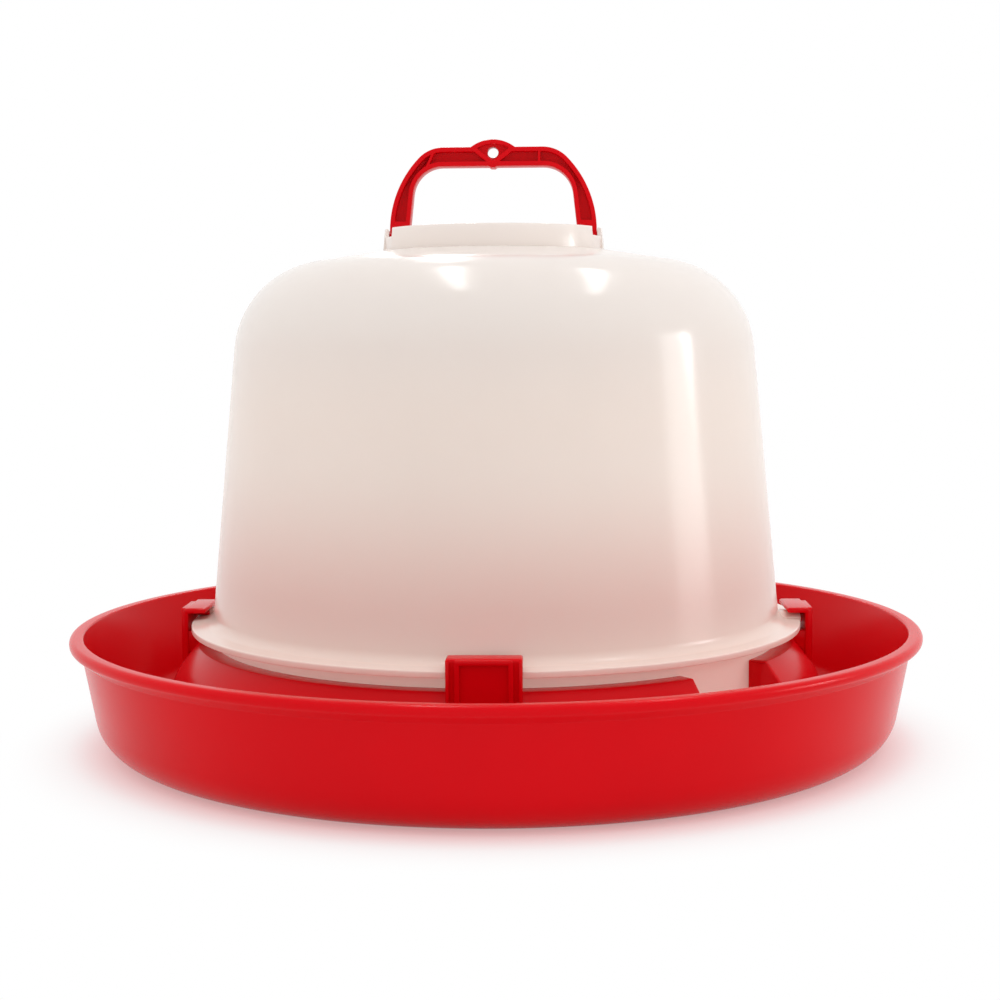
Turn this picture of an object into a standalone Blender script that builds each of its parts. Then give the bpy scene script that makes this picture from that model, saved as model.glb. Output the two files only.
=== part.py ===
"""Poultry drinker: a wide round tray, a bell-shaped reservoir that locks into it, and a bail handle.

Units are metres, +Z is up, and the drinker stands on Z = 0 with its axis on Z.
The front is -Y. Angles called "bearing" run from the front towards +X.
"""

import bpy
import bmesh
from math import asin, atan2, cos, pi, radians, sin, sqrt
from mathutils import Matrix, Vector

# Driving sizes

SEGMENTS = 60                  # facets round every turned surface
CLEAR = 0.0003                 # gap where two mouldings seat on each other
MERGE = 0.000002               # points nearer than this are one point
ROUND_PROFILE = 0.5            # a bevel's profile that is a round
SHARP = radians(30)            # edges that turn more than this are shaded sharp
ROUNDING_ROOM = 0.98           # share of a run that the rounding of its corner may take
NEAR_MARK = radians(0.9)       # a facet's edge nearer than this to a gap's edge is left out

# Tray pan
RIM_RADIUS = 0.200
RIM_HEIGHT = 0.054
LIP_REACH = 0.0060             # how far the rolled lip stands out from the wall
LIP_DEPTH = 0.0100             # height of the rolled lip
LIP_FACE = 0.0050              # height of the lip's upright face
LIP_ROUND = 0.0024
PAN_WALL = 0.0022
PAN_TAPER = radians(10.4)      # lean of the pan's wall
PAN_ROUND = 0.0195             # radius between the pan's wall and its base
FLOOR_TOP = 0.0030
FOOT_WIDTH = 0.0062            # flat rim that the tray stands on
FOOT_STEP = 0.0006             # slope at the foot rim's inner side

# Ring that the reservoir stands in
SKIRT_CLEAR = 0.0005           # between the ring and the reservoir's skirt
RING_TOP = 0.0473
RING_LAND = 0.0083             # width of the ring's flat top
RING_KNEE = 0.0215             # how far the bend in the ring's side lies outside its bore
RING_KNEE_HEIGHT = 0.0306
RING_FOOT = 0.0256             # how far the ring's foot lies outside its bore
RING_EDGE = 0.0007             # rounding of the ring's top edges
RING_ROUND = 0.040             # rounding of the bend in the ring's side
RING_FILLET = 0.0045           # rounding between the ring and the trough's floor
GAP_BEARING = radians(48.0)    # middle of the first water gap
GAP_HALF = radians(10.4)
GAP_COUNT = 2

# Lugs
LUG_COUNT = 4
LUG_WIDTH = 0.0310
HOOK_GAP = 0.0034              # between the flange and the hook plate
LUG_WALL = 0.0018
LUG_ROOT = 0.0062              # how far the lug's root starts outside the ring's bore
HOOK_PLATE = 0.0024
HOOK_OVERLAP = 0.0070          # how far the hook plates reach in over the flange
HOOK_NOSE = 0.0008             # bevel under the hook's inner edge
LUG_RADIAL_CLEAR = 0.0016      # between the flange and the lug's wall
LEDGE_DROP = 0.0022            # the lug's ledge lies this far under the flange
LEDGE_INSET = 0.0010           # the ledge stops short of the lug's ends
STOP_WIDTH = 0.0030
STOP_HEIGHT = 0.0020
STOP_INSET = 0.0012            # the stop starts this far behind the hook's inner edge
FRAME_WIDTH = 0.0231
FRAME_BAR = 0.0022
FRAME_PROUD = 0.0020
FRAME_DROP = 0.0004            # the frame's top lies this far under the lug's top
BEAD_WIDTH = 0.0013
BEAD_PROUD = 0.0010
CORNER_ROUND = 0.0012

# Reservoir
SKIRT_RADIUS = 0.1325
RESERVOIR_WALL = 0.0020
BELL_STEP = 0.0020             # how far the bell's foot lies outside the skirt
FLANGE_REACH = 0.0100          # how far the flange stands out from the bell's foot
FLANGE_GAP = 0.0059            # between the ring's top and the flange
FLANGE_EDGE = 0.0030           # height of the flange's outer face
FLANGE_ROUND = 0.0007
FLANGE_RISE = 0.0010           # rise of the flange's top towards the bell
FLARE_ROUND = 0.0050           # rounding between the flange and the bell
BELL_TAPER = radians(5.5)
SHOULDER_ROUND = 0.0447
CROWN_SLOPE = radians(9.0)
CROWN_HEIGHT = 0.2300          # where the crown meets the collar
OUTLET_WIDTH = 0.0240
OUTLET_TOP = 0.0240
OUTLET_ARCH = 0.0060
TAB_LENGTH = 0.0116
TAB_RAMP = 0.0040
TAB_INSET = 0.0003             # the tabs stop short of the flange's edge

# Collar
COLLAR_TOP_RADIUS = 0.0512
COLLAR_SPREAD = 0.0010         # how much wider the collar is at its foot
COLLAR_RISE = 0.0101           # the collar's height over the crown
COLLAR_WALL = 0.0017
COLLAR_SINK = 0.0010           # the collar's floor lies this far under the crown
COLLAR_EDGE = 0.0004
NOTCH_BEARING = radians(71.4)
NOTCH_HALF = radians(7.6)
NOTCH_DEPTH = 0.0040

# Handle
PIVOT_DROP = 0.0035            # the pivot axis lies this far under the collar's top
PIN_RADIUS = 0.0022
PIN_FACETS = 16
PIN_INSET = 0.0004             # the pins stop short of the collar's outer face
HANDLE_DEPTH = 0.0120
HANDLE_RISE = 0.0414           # the grip's top over the pivot axis
SPRING_RISE = 0.0026           # the centre of the large arcs over the pivot axis
HANDLE_SHOULDER = 0.0160       # radius between the large arcs and the flat top
GRIP_THICK = 0.0087
LEG_WIDTH = 0.0090
LEG_LEAN = 0.0034              # how far the legs' inner sides lean in up to the grip
FINGER_ROUND = 0.0110
LEG_ROUND = 0.0400             # slight bend where the legs start to lean inwards
HANDLE_CLEAR = 0.0006          # between a foot and the collar's wall
FOOT_ROUND = 0.0058
FLANGE_BAND = 0.0021           # edge flanges of the handle's I-section
WEB_THICK = 0.0032
CROSS_BAR_RISE = 0.0073        # top of the bar that closes each leg's pocket, over the pivot axis
RIB_THICK = 0.0012
RIB_RIGHT = 0.0216
RIB_LEFT = -0.0288
RIB_LEAN = radians(24)
EYE_RADIUS = 0.00255
EYE_DROP = 0.0023              # the eye's centre under the grip's top
EYE_RISE = 0.0035              # the eye's crown over the grip's top
EYE_HALF = 0.0103
EYE_POCKET_HALF = 0.0074
EYE_LAND = 0.0023              # between the grip's underside and the recess round the eye
EYE_WEB = 0.0070
NUB_DROP = 0.0007              # small swelling under the grip's middle
NUB_HALF = 0.0020

# Sizes that follow from the ones above

BELL_FOOT_RADIUS = SKIRT_RADIUS + BELL_STEP
FLANGE_RADIUS = BELL_FOOT_RADIUS + FLANGE_REACH
FLANGE_UNDER = RING_TOP + FLANGE_GAP
FLANGE_TOP = FLANGE_UNDER + FLANGE_EDGE
RING_BORE = SKIRT_RADIUS + SKIRT_CLEAR
LUG_FACE = FLANGE_RADIUS + LUG_RADIAL_CLEAR + LUG_WALL
HOOK_INNER = FLANGE_RADIUS - HOOK_OVERLAP
HOOK_UNDER = FLANGE_TOP + HOOK_GAP
LUG_TOP = HOOK_UNDER + HOOK_PLATE
TAB_TOP = HOOK_UNDER - CLEAR
COLLAR_FOOT_RADIUS = COLLAR_TOP_RADIUS + COLLAR_SPREAD
COLLAR_BORE = COLLAR_TOP_RADIUS - COLLAR_WALL
COLLAR_TOP = CROWN_HEIGHT + COLLAR_RISE
COLLAR_FLOOR = CROWN_HEIGHT - COLLAR_SINK
PIVOT_HEIGHT = COLLAR_TOP - PIVOT_DROP
HALF_DEPTH = HANDLE_DEPTH / 2
FOOT_REACH = sqrt((COLLAR_BORE - HANDLE_CLEAR) ** 2 - HALF_DEPTH ** 2)
FOOT_BOTTOM = PIVOT_HEIGHT - HALF_DEPTH
HANDLE_TOP = PIVOT_HEIGHT + HANDLE_RISE
HANDLE_SPRING = PIVOT_HEIGHT + SPRING_RISE
CROSS_BAR = PIVOT_HEIGHT + CROSS_BAR_RISE
GRIP_UNDER = HANDLE_TOP - GRIP_THICK
FINGER_HALF = FOOT_REACH - LEG_WIDTH - LEG_LEAN
EYE_HEIGHT = HANDLE_TOP - EYE_DROP
EYE_CROWN = HANDLE_TOP + EYE_RISE
EYE_POCKET_LOW = GRIP_UNDER + EYE_LAND


def clear_scene():
    for item in list(bpy.data.objects):
        bpy.data.objects.remove(item, do_unlink=True)
    for mesh in list(bpy.data.meshes):
        bpy.data.meshes.remove(mesh)


def plastic(name, colour, roughness):
    material = bpy.data.materials.new(name)
    material.use_nodes = True
    shader = material.node_tree.nodes["Principled BSDF"]
    shader.inputs["Base Color"].default_value = (*colour, 1.0)
    shader.inputs["Roughness"].default_value = roughness
    shader.inputs["Metallic"].default_value = 0.0
    material.diffuse_color = (*colour, 1.0)
    return material


def new_object(name, bm):
    bmesh.ops.recalc_face_normals(bm, faces=bm.faces)
    mesh = bpy.data.meshes.new(name)
    bm.to_mesh(mesh)
    bm.free()
    item = bpy.data.objects.new(name, mesh)
    bpy.context.scene.collection.objects.link(item)
    return item


def bearing_angle(bearing):
    """Angle from +X of a bearing, which runs from the front (-Y) towards +X."""
    return bearing - pi / 2


def arc(centre, radius, start, end, steps):
    """Points of an arc, both ends included."""
    points = []
    for i in range(steps + 1):
        angle = start + (end - start) * i / steps
        points.append((centre[0] + radius * cos(angle), centre[1] + radius * sin(angle)))
    return points


def offset(line, distance):
    """An open line of (u, v, radius, steps) corners moved to its right by a distance.

    Neighbouring runs meet again at each corner, and each rounding stays concentric.
    """
    runs = []
    for a, b in zip(line, line[1:]):
        runs.append(Vector((b[0] - a[0], b[1] - a[1])).normalized())
    moved = []
    for i, (u, v, radius, steps) in enumerate(line):
        before = runs[max(i - 1, 0)]
        after = runs[min(i, len(runs) - 1)]
        middle = Vector((before.y + after.y, -before.x - after.x)).normalized()
        reach = distance / (middle.x * before.y - middle.y * before.x)
        turn = before.x * after.y - before.y * after.x
        if radius > 0:
            radius = max(radius + (distance if turn > 0 else -distance), 0.0)
        moved.append((u + middle.x * reach, v + middle.y * reach, radius, steps))
    return moved


def rounded(line):
    """Points of an open line of (u, v, radius, steps) corners with the roundings drawn in."""
    points = []
    for i, (u, v, radius, steps) in enumerate(line):
        if radius <= 0 or i in (0, len(line) - 1):
            points.append((u, v))
            continue
        corner = Vector((u, v))
        back = Vector(line[i - 1][:2]) - corner
        ahead = Vector(line[i + 1][:2]) - corner
        half = back.angle(ahead) / 2
        room = min(back.length, ahead.length) * ROUNDING_ROOM
        reach = min(radius / (sin(half) / cos(half)), room)
        radius = reach * sin(half) / cos(half)
        centre = corner + (back.normalized() + ahead.normalized()).normalized() * (radius / sin(half))
        first = corner + back.normalized() * reach - centre
        last = corner + ahead.normalized() * reach - centre
        start = atan2(first.y, first.x)
        sweep = atan2(last.y, last.x) - start
        if sweep > pi:
            sweep -= 2 * pi
        if sweep < -pi:
            sweep += 2 * pi
        points += arc(centre, radius, start, start + sweep, steps)
    return points


def ring_body(name, stations):
    """One closed body from closed (r, z) loops placed at angles round Z.

    Loops that share an angle differ only where the body has a radial wall there.
    """
    bm = bmesh.new()
    made = {}

    def vertex(angle, r, z):
        key = (0.0 if r < 1e-7 else round(angle, 7), round(r, 7), round(z, 7))
        if key not in made:
            made[key] = bm.verts.new((r * cos(angle), r * sin(angle), z))
        return made[key]

    count = len(stations)
    for i in range(count):
        angle_a, loop_a = stations[i]
        angle_b, loop_b = stations[(i + 1) % count]
        size = len(loop_a)
        for j in range(size):
            k = (j + 1) % size
            corners = [
                vertex(angle_a, *loop_a[j]),
                vertex(angle_b, *loop_b[j]),
                vertex(angle_b, *loop_b[k]),
                vertex(angle_a, *loop_a[k]),
            ]
            face = []
            for corner in corners:
                if corner not in face:
                    face.append(corner)
            if len(face) > 2:
                bm.faces.new(face)
    return new_object(name, bm)


def turned(name, loop, segments=SEGMENTS):
    """A closed (r, z) loop turned round Z."""
    return ring_body(name, [(2 * pi * i / segments, loop) for i in range(segments)])


def prism(name, outline, low, high, place):
    """An outline extruded from low to high; place(u, v, w) gives each point's position."""
    bm = bmesh.new()
    bottom = [bm.verts.new(place(u, v, low)) for u, v in outline]
    top = [bm.verts.new(place(u, v, high)) for u, v in outline]
    bm.faces.new(bottom)
    bm.faces.new(top)
    for i in range(len(outline)):
        k = (i + 1) % len(outline)
        bm.faces.new((bottom[i], bottom[k], top[k], top[i]))
    return new_object(name, bm)


def radial(u, v, w):
    """An (r, z) outline extruded sideways, for a form that stands on the +X side."""
    return (u, w, v)


def frontal(u, v, w):
    """An (x, z) outline extruded along Y."""
    return (u, w, v)


def along_x(u, v, w):
    """A (y, z) outline extruded along X."""
    return (w, u, v)


def combine(target, tool, operation):
    """Applies one exact Boolean to the target and removes the tool."""
    tool.hide_render = True
    tool.display_type = "WIRE"
    step = target.modifiers.new(operation.title(), "BOOLEAN")
    step.operation = operation
    step.solver = "EXACT"
    step.object = tool
    bpy.context.view_layer.update()
    shape = target.evaluated_get(bpy.context.evaluated_depsgraph_get())
    result = bpy.data.meshes.new_from_object(shape)
    old = target.data
    target.modifiers.clear()
    target.data = result
    bpy.data.meshes.remove(old)
    bpy.data.objects.remove(tool, do_unlink=True)


def turned_copies(source, angles):
    """Copies of a form at angles round Z; the source is removed."""
    copies = []
    for angle in angles:
        bm = bmesh.new()
        bm.from_mesh(source.data)
        bmesh.ops.transform(bm, matrix=Matrix.Rotation(angle, 4, "Z"), verts=bm.verts)
        copies.append(new_object(source.name, bm))
    bpy.data.objects.remove(source, do_unlink=True)
    return copies


def bevel_edges(item, chosen, width, steps):
    """Rounds the edges whose two end points satisfy chosen(a, b)."""
    bm = bmesh.new()
    bm.from_mesh(item.data)
    edges = [e for e in bm.edges if chosen(e.verts[0].co, e.verts[1].co)]
    bmesh.ops.bevel(
        bm, geom=edges, offset=width, offset_type="OFFSET", segments=steps,
        profile=ROUND_PROFILE, affect="EDGES", clamp_overlap=True,
    )
    bmesh.ops.recalc_face_normals(bm, faces=bm.faces)
    bm.to_mesh(item.data)
    bm.free()


def finish(item, name, material):
    """Names a finished node, tidies its mesh and gives it its material and shading."""
    item.name = name
    item.data.name = name
    bm = bmesh.new()
    bm.from_mesh(item.data)
    bmesh.ops.remove_doubles(bm, verts=bm.verts, dist=MERGE)
    bmesh.ops.dissolve_degenerate(bm, edges=bm.edges, dist=MERGE)
    bmesh.ops.triangulate(bm, faces=[f for f in bm.faces if len(f.verts) > 4])
    bm.to_mesh(item.data)
    bm.free()
    item.data.materials.clear()
    item.data.materials.append(material)
    item.data.shade_smooth()
    item.data.set_sharp_from_angle(angle=SHARP)


# Tray

def wall_radius(height):
    """Outer radius of the pan's leaning wall at a height."""
    lip_low = RIM_HEIGHT - LIP_DEPTH
    return RIM_RADIUS - LIP_REACH - (lip_low - height) * sin(PAN_TAPER) / cos(PAN_TAPER)


def ring_line():
    """The ring's wet side: up its bore, over its flat top and down into the trough."""
    inner_wall = PAN_WALL / cos(PAN_TAPER)
    return [
        (0.0, FLOOR_TOP, 0.0, 0),
        (RING_BORE, FLOOR_TOP, 0.0, 0),
        (RING_BORE, RING_TOP, RING_EDGE, 1),
        (RING_BORE + RING_LAND, RING_TOP, RING_EDGE, 1),
        (RING_BORE + RING_KNEE, RING_KNEE_HEIGHT, RING_ROUND, 3),
        (RING_BORE + RING_FOOT, FLOOR_TOP, RING_FILLET, 2),
        (wall_radius(FLOOR_TOP) - inner_wall, FLOOR_TOP, PAN_ROUND - PAN_WALL, 4),
    ]


def pan_line():
    """The pan's outside, from the top of its inner wall over the lip and down to the foot."""
    inner_wall = PAN_WALL / cos(PAN_TAPER)
    lip_low = RIM_HEIGHT - LIP_DEPTH
    return [
        (wall_radius(RIM_HEIGHT) - inner_wall, RIM_HEIGHT, LIP_ROUND / 2, 1),
        (RIM_RADIUS, RIM_HEIGHT, LIP_ROUND, 3),
        (RIM_RADIUS, RIM_HEIGHT - LIP_FACE, LIP_ROUND, 2),
        (wall_radius(lip_low), lip_low, 0.0, 0),
        (wall_radius(0.0), 0.0, PAN_ROUND, 5),
    ]


def tray_loops():
    """The tray's section with the ring, without the hollow under it, and without the ring."""
    wet = ring_line() + pan_line()
    half_turn = (pi / 2 - PAN_TAPER) / 2
    foot = wet[-1][0] - PAN_ROUND * sin(half_turn) / cos(half_turn) - FOOT_WIDTH
    under = FLOOR_TOP - PAN_WALL
    wet.append((foot, 0.0, 0.0, 0))
    skin = rounded(wet)
    hollow = offset(ring_line()[:6] + [wet[6]], PAN_WALL)
    dry = rounded(hollow)[1:-1]
    dry.reverse()
    inner = len(rounded(ring_line()[:6] + [wet[6]])) - 1
    side = skin[1:inner]
    outside = skin[inner:] + [(foot - FOOT_STEP, under)]
    wet_flat = [(r, FLOOR_TOP) for r, z in side]
    dry_flat = [(r, under) for r, z in dry]
    start = [(0.0, FLOOR_TOP)]
    end = [(0.0, under)]
    full = start + side + outside + dry + end
    walled = start + side + outside + dry_flat + end
    flat = start + wet_flat + outside + dry_flat + end
    return full, walled, flat


def tray_pan():
    """The pan with its ring, the hollow under the ring and the gaps that let water out."""
    full, walled, flat = tray_loops()
    end_wall = PAN_WALL / (RING_BORE + RING_LAND)
    marks = []
    for i in range(GAP_COUNT):
        middle = bearing_angle(GAP_BEARING) + 2 * pi * i / GAP_COUNT
        marks.append((middle - GAP_HALF - end_wall, (full, walled)))
        marks.append((middle - GAP_HALF, (walled, flat)))
        marks.append((middle + GAP_HALF, (flat, walled)))
        marks.append((middle + GAP_HALF + end_wall, (walled, full)))
    marks = sorted((angle % (2 * pi), loops) for angle, loops in marks)
    current = marks[-1][1][1]
    stations = []
    plain = [2 * pi * i / SEGMENTS for i in range(SEGMENTS)]
    events = [(a, None) for a in plain if all(abs(a - mark) > NEAR_MARK for mark, _ in marks)]
    for angle, loops in sorted(events + marks, key=lambda event: event[0]):
        if loops is None:
            stations.append((angle, current))
        else:
            stations.append((angle, loops[0]))
            stations.append((angle, loops[1]))
            current = loops[1]
    return ring_body("tray", stations)


def slope_height(radius):
    """Height inside the ring's shell under a radius, where the lugs' feet are rooted."""
    line = rounded(offset(ring_line(), PAN_WALL / 2))[2:]
    for a, b in zip(line, line[1:]):
        if a[0] <= radius <= b[0]:
            share = (radius - a[0]) / (b[0] - a[0])
            return a[1] + share * (b[1] - a[1])
    return FLOOR_TOP


def rooted(inner, outer, top):
    """Outline between two radii from a top height down into the ring's sloping shell."""
    steps = 3
    foot = [outer - (outer - inner) * i / steps for i in range(steps + 1)]
    return [(inner, top), (outer, top)] + [(r, slope_height(r)) for r in foot]


def lug_form():
    """One lug on the +X side; the reservoir locks by turning counterclockwise in it."""
    half = LUG_WIDTH / 2
    inner_face = LUG_FACE - LUG_WALL
    hook = [
        (HOOK_INNER, HOOK_UNDER + HOOK_NOSE),
        (HOOK_INNER + HOOK_NOSE, HOOK_UNDER),
        (inner_face, HOOK_UNDER),
        (inner_face, slope_height(inner_face)),
        (LUG_FACE, slope_height(LUG_FACE)),
        (LUG_FACE, LUG_TOP),
        (HOOK_INNER, LUG_TOP),
    ]
    form = prism("lug", hook, -half, half, radial)
    near_end = half - CLEAR
    bevel_edges(
        form,
        lambda a, b: min(abs(a.y), abs(b.y)) > near_end and min(a.z, b.z) > LUG_TOP - CLEAR,
        CORNER_ROUND, 2,
    )
    ledge = rooted(RING_BORE + LUG_ROOT, LUG_FACE - LUG_WALL / 2, FLANGE_UNDER - LEDGE_DROP)
    combine(form, prism("ledge", ledge, LEDGE_INSET - half, half - LEDGE_INSET, radial), "UNION")
    stop_low = FLANGE_TOP + 2 * CLEAR
    stop = [
        (HOOK_INNER + STOP_INSET, stop_low),
        (LUG_FACE - LUG_WALL / 2, stop_low),
        (LUG_FACE - LUG_WALL / 2, stop_low + STOP_HEIGHT),
        (HOOK_INNER + STOP_INSET, stop_low + STOP_HEIGHT),
    ]
    combine(form, prism("stop", stop, -STOP_WIDTH / 2, STOP_WIDTH / 2, radial), "UNION")
    proud = LUG_FACE + FRAME_PROUD
    root = LUG_FACE - LUG_WALL / 4
    frame_top = LUG_TOP - FRAME_DROP
    edge = FRAME_WIDTH / 2
    post = rooted(root, proud, frame_top)
    for low in (-edge, edge - FRAME_BAR):
        combine(form, prism("post", post, low, low + FRAME_BAR, radial), "UNION")
    beam = [
        (root, frame_top - FRAME_BAR),
        (proud - CLEAR, frame_top - FRAME_BAR),
        (proud - CLEAR, frame_top - CLEAR),
        (root, frame_top - CLEAR),
    ]
    reach = edge - FRAME_BAR / 2
    combine(form, prism("beam", beam, -reach, reach, radial), "UNION")
    bead = rooted(root - CLEAR, LUG_FACE + BEAD_PROUD, LUG_TOP - CORNER_ROUND)
    for low in (CLEAR - half, half - CLEAR - BEAD_WIDTH):
        combine(form, prism("bead", bead, low, low + BEAD_WIDTH, radial), "UNION")
    return form


def build_tray(material):
    pan = tray_pan()
    turns = [2 * pi * i / LUG_COUNT for i in range(LUG_COUNT)]
    for lug in turned_copies(lug_form(), turns):
        combine(pan, lug, "UNION")
    finish(pan, "tray", material)
    return pan


# Reservoir

def bell_radius(height):
    """Outer radius of the bell's leaning side at a height."""
    return BELL_FOOT_RADIUS - (height - FLANGE_TOP) * sin(BELL_TAPER) / cos(BELL_TAPER)


def shoulder_corner():
    """Where the bell's side and its sloping crown would meet without their rounding."""
    lean = sin(BELL_TAPER) / cos(BELL_TAPER)
    slope = sin(CROWN_SLOPE) / cos(CROWN_SLOPE)
    level = CROWN_HEIGHT - (BELL_FOOT_RADIUS + FLANGE_TOP * lean - COLLAR_FOOT_RADIUS) * slope
    height = level / (1 - lean * slope)
    return bell_radius(height), height


def bell_line():
    """The bell's outside from the flare over the shoulder to the collar's foot."""
    flare = FLANGE_TOP + FLANGE_RISE
    return [
        (bell_radius(flare), flare, FLARE_ROUND, 3),
        (*shoulder_corner(), SHOULDER_ROUND, 8),
        (COLLAR_FOOT_RADIUS, CROWN_HEIGHT, 0.0, 0),
    ]


def reservoir_loop():
    """Section of the reservoir: skirt, flange, bell, shoulder, collar and its floor."""
    wall = RESERVOIR_WALL
    seat = FLOOR_TOP + CLEAR
    low = [
        (SKIRT_RADIUS, seat, 0.0, 0),
        (SKIRT_RADIUS, FLANGE_UNDER, 0.0, 0),
        (FLANGE_RADIUS, FLANGE_UNDER, FLANGE_ROUND, 1),
        (FLANGE_RADIUS, FLANGE_TOP, FLANGE_ROUND, 2),
    ]
    collar = [
        (COLLAR_TOP_RADIUS, COLLAR_TOP, COLLAR_EDGE, 1),
        (COLLAR_BORE, COLLAR_TOP, COLLAR_EDGE, 1),
        (COLLAR_BORE, COLLAR_FLOOR, COLLAR_EDGE, 1),
        (0.0, COLLAR_FLOOR, 0.0, 0),
    ]
    outside = rounded(low + bell_line() + collar)
    inner_bell = offset(bell_line(), -wall)
    inside = [
        (0.0, COLLAR_FLOOR - wall, 0.0, 0),
        (COLLAR_BORE, COLLAR_FLOOR - wall, 0.0, 0),
        inner_bell[2],
        inner_bell[1],
        (bell_radius(FLANGE_TOP + FLARE_ROUND) - wall, FLANGE_TOP + FLARE_ROUND, 0.0, 0),
        (SKIRT_RADIUS - wall, FLANGE_UNDER, 0.0, 0),
        (SKIRT_RADIUS - wall, seat, 0.0, 0),
    ]
    return outside + rounded(inside)


def tab_form():
    """One locking tab on the flange, for the +X side, with its ramp at the clockwise end."""
    near = -STOP_WIDTH / 2 - CLEAR
    far = near - TAB_LENGTH
    root = FLANGE_TOP - FLANGE_EDGE / 4
    outline = [
        (near, root),
        (near, TAB_TOP),
        (far + TAB_RAMP, TAB_TOP),
        (far, FLANGE_TOP + FLANGE_RISE),
        (far, root),
    ]
    inner = bell_radius(TAB_TOP) - RESERVOIR_WALL / 4
    return prism("tab", outline, inner, FLANGE_RADIUS - TAB_INSET, along_x)


def circle(centre, radius, facets):
    """A closed circle of points."""
    return arc(centre, radius, 0.0, 2 * pi, facets)[:-1]


def build_reservoir(material):
    bell = turned("reservoir", reservoir_loop())
    turns = [2 * pi * i / LUG_COUNT for i in range(LUG_COUNT)]
    for tab in turned_copies(tab_form(), turns):
        combine(bell, tab, "UNION")
    half = OUTLET_WIDTH / 2
    spring = OUTLET_TOP - OUTLET_ARCH
    arch = [(-half, 0.0), (half, 0.0)]
    for i in range(5):
        angle = pi * i / 4
        arch.append((half * cos(angle), spring + OUTLET_ARCH * sin(angle)))
    reach = 2 * RESERVOIR_WALL
    outlet = prism("outlet", arch, SKIRT_RADIUS - reach, SKIRT_RADIUS + reach, along_x)
    turns = [bearing_angle(GAP_BEARING) + 2 * pi * i / GAP_COUNT for i in range(GAP_COUNT)]
    for cutter in turned_copies(outlet, turns):
        combine(bell, cutter, "DIFFERENCE")
    wide = COLLAR_TOP_RADIUS * sin(NOTCH_HALF)
    above = COLLAR_TOP + NOTCH_DEPTH
    below = COLLAR_TOP - NOTCH_DEPTH
    outline = [(-wide, below), (wide, below), (wide, above), (-wide, above)]
    reach = 2 * COLLAR_WALL
    notch = prism("notch", outline, COLLAR_BORE - reach, COLLAR_TOP_RADIUS + reach, along_x)
    bearings = [NOTCH_BEARING, pi - NOTCH_BEARING, pi + NOTCH_BEARING, -NOTCH_BEARING]
    for cutter in turned_copies(notch, [bearing_angle(b) for b in bearings]):
        combine(bell, cutter, "DIFFERENCE")
    outline = circle((0.0, PIVOT_HEIGHT), PIN_RADIUS + CLEAR, PIN_FACETS)
    hole = prism("hole", outline, COLLAR_BORE - reach, COLLAR_FOOT_RADIUS + reach, along_x)
    for cutter in turned_copies(hole, [0.0, pi]):
        combine(bell, cutter, "DIFFERENCE")
    finish(bell, "reservoir", material)
    return bell


# Handle

def outer_line(inset, low):
    """Right half of the handle's outer outline, from the flat top down to a height.

    A small arc joins the flat top to a large arc that runs down into the leg.
    """
    rise = HANDLE_TOP - HANDLE_SPRING
    small = HANDLE_SHOULDER
    across = sqrt((FOOT_REACH - small) ** 2 - (rise - small) ** 2)
    meet = atan2(rise - small, across)
    centre = (across, HANDLE_SPRING + rise - small)
    points = arc(centre, small - inset, pi / 2, meet, 4)
    end = asin(max((low - HANDLE_SPRING) / (FOOT_REACH - inset), 0.0))
    points += arc((0.0, HANDLE_SPRING), FOOT_REACH - inset, meet, end, 5)[1:]
    if low < HANDLE_SPRING:
        points.append((FOOT_REACH - inset, low))
    return points


def above(points, low):
    """The part of a rising line of points that lies above a height."""
    for i, (a, b) in enumerate(zip(points, points[1:])):
        if a[1] <= low < b[1]:
            share = (low - a[1]) / (b[1] - a[1])
            return [(a[0] + share * (b[0] - a[0]), low)] + points[i + 1:]
    return points


def inner_line(inset, low):
    """Right half of the handle's inner outline, from a height up to the grip's underside."""
    leg = FOOT_REACH - LEG_WIDTH
    line = [
        (leg, FOOT_BOTTOM, 0.0, 0),
        (leg, HANDLE_SPRING, LEG_ROUND, 2),
        (FINGER_HALF, GRIP_UNDER, FINGER_ROUND, 4),
        (NUB_HALF, GRIP_UNDER, 0.0, 0),
    ]
    return above(rounded(offset(line, inset)), low)


def mirrored(points):
    """A right-hand line followed by its left-hand mirror image."""
    return points + [(-x, z) for x, z in reversed(points)]


def eye_line(inset, half, steps):
    """Crown of the eye above the grip, from right to left, moved inwards by a distance."""
    sag = EYE_CROWN - HANDLE_TOP
    radius = (EYE_HALF ** 2 + sag ** 2) / (2 * sag)
    spread = asin(half / (radius - inset))
    return arc(
        (0.0, EYE_CROWN - radius), radius - inset, pi / 2 - spread, pi / 2 + spread, steps,
    )


def handle_outline():
    """Whole outline of the handle as one closed loop."""
    nub = [(NUB_HALF / 2, GRIP_UNDER - NUB_DROP)]
    right = outer_line(0.0, FOOT_BOTTOM) + inner_line(0.0, FOOT_BOTTOM) + nub
    return mirrored(right) + list(reversed(eye_line(0.0, EYE_HALF, 8)))


def pocket_outline():
    """Outline of the pocket between the handle's edge flanges, from leg to leg."""
    return mirrored(outer_line(FLANGE_BAND, CROSS_BAR) + inner_line(FLANGE_BAND, CROSS_BAR))


def eye_sides(grow, top):
    """The two slanting sides under the eye's crown as an open line, grown outwards."""
    shoulder = eye_line(FLANGE_BAND, EYE_POCKET_HALF, 1)[0][1]
    half = EYE_POCKET_HALF * (top - EYE_POCKET_LOW) / (shoulder - EYE_POCKET_LOW)
    line = [
        (half, top, 0.0, 0),
        (0.0, EYE_POCKET_LOW, EYE_RADIUS / 2, 2),
        (-half, top, 0.0, 0),
    ]
    return rounded(offset(line, -grow))


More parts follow.
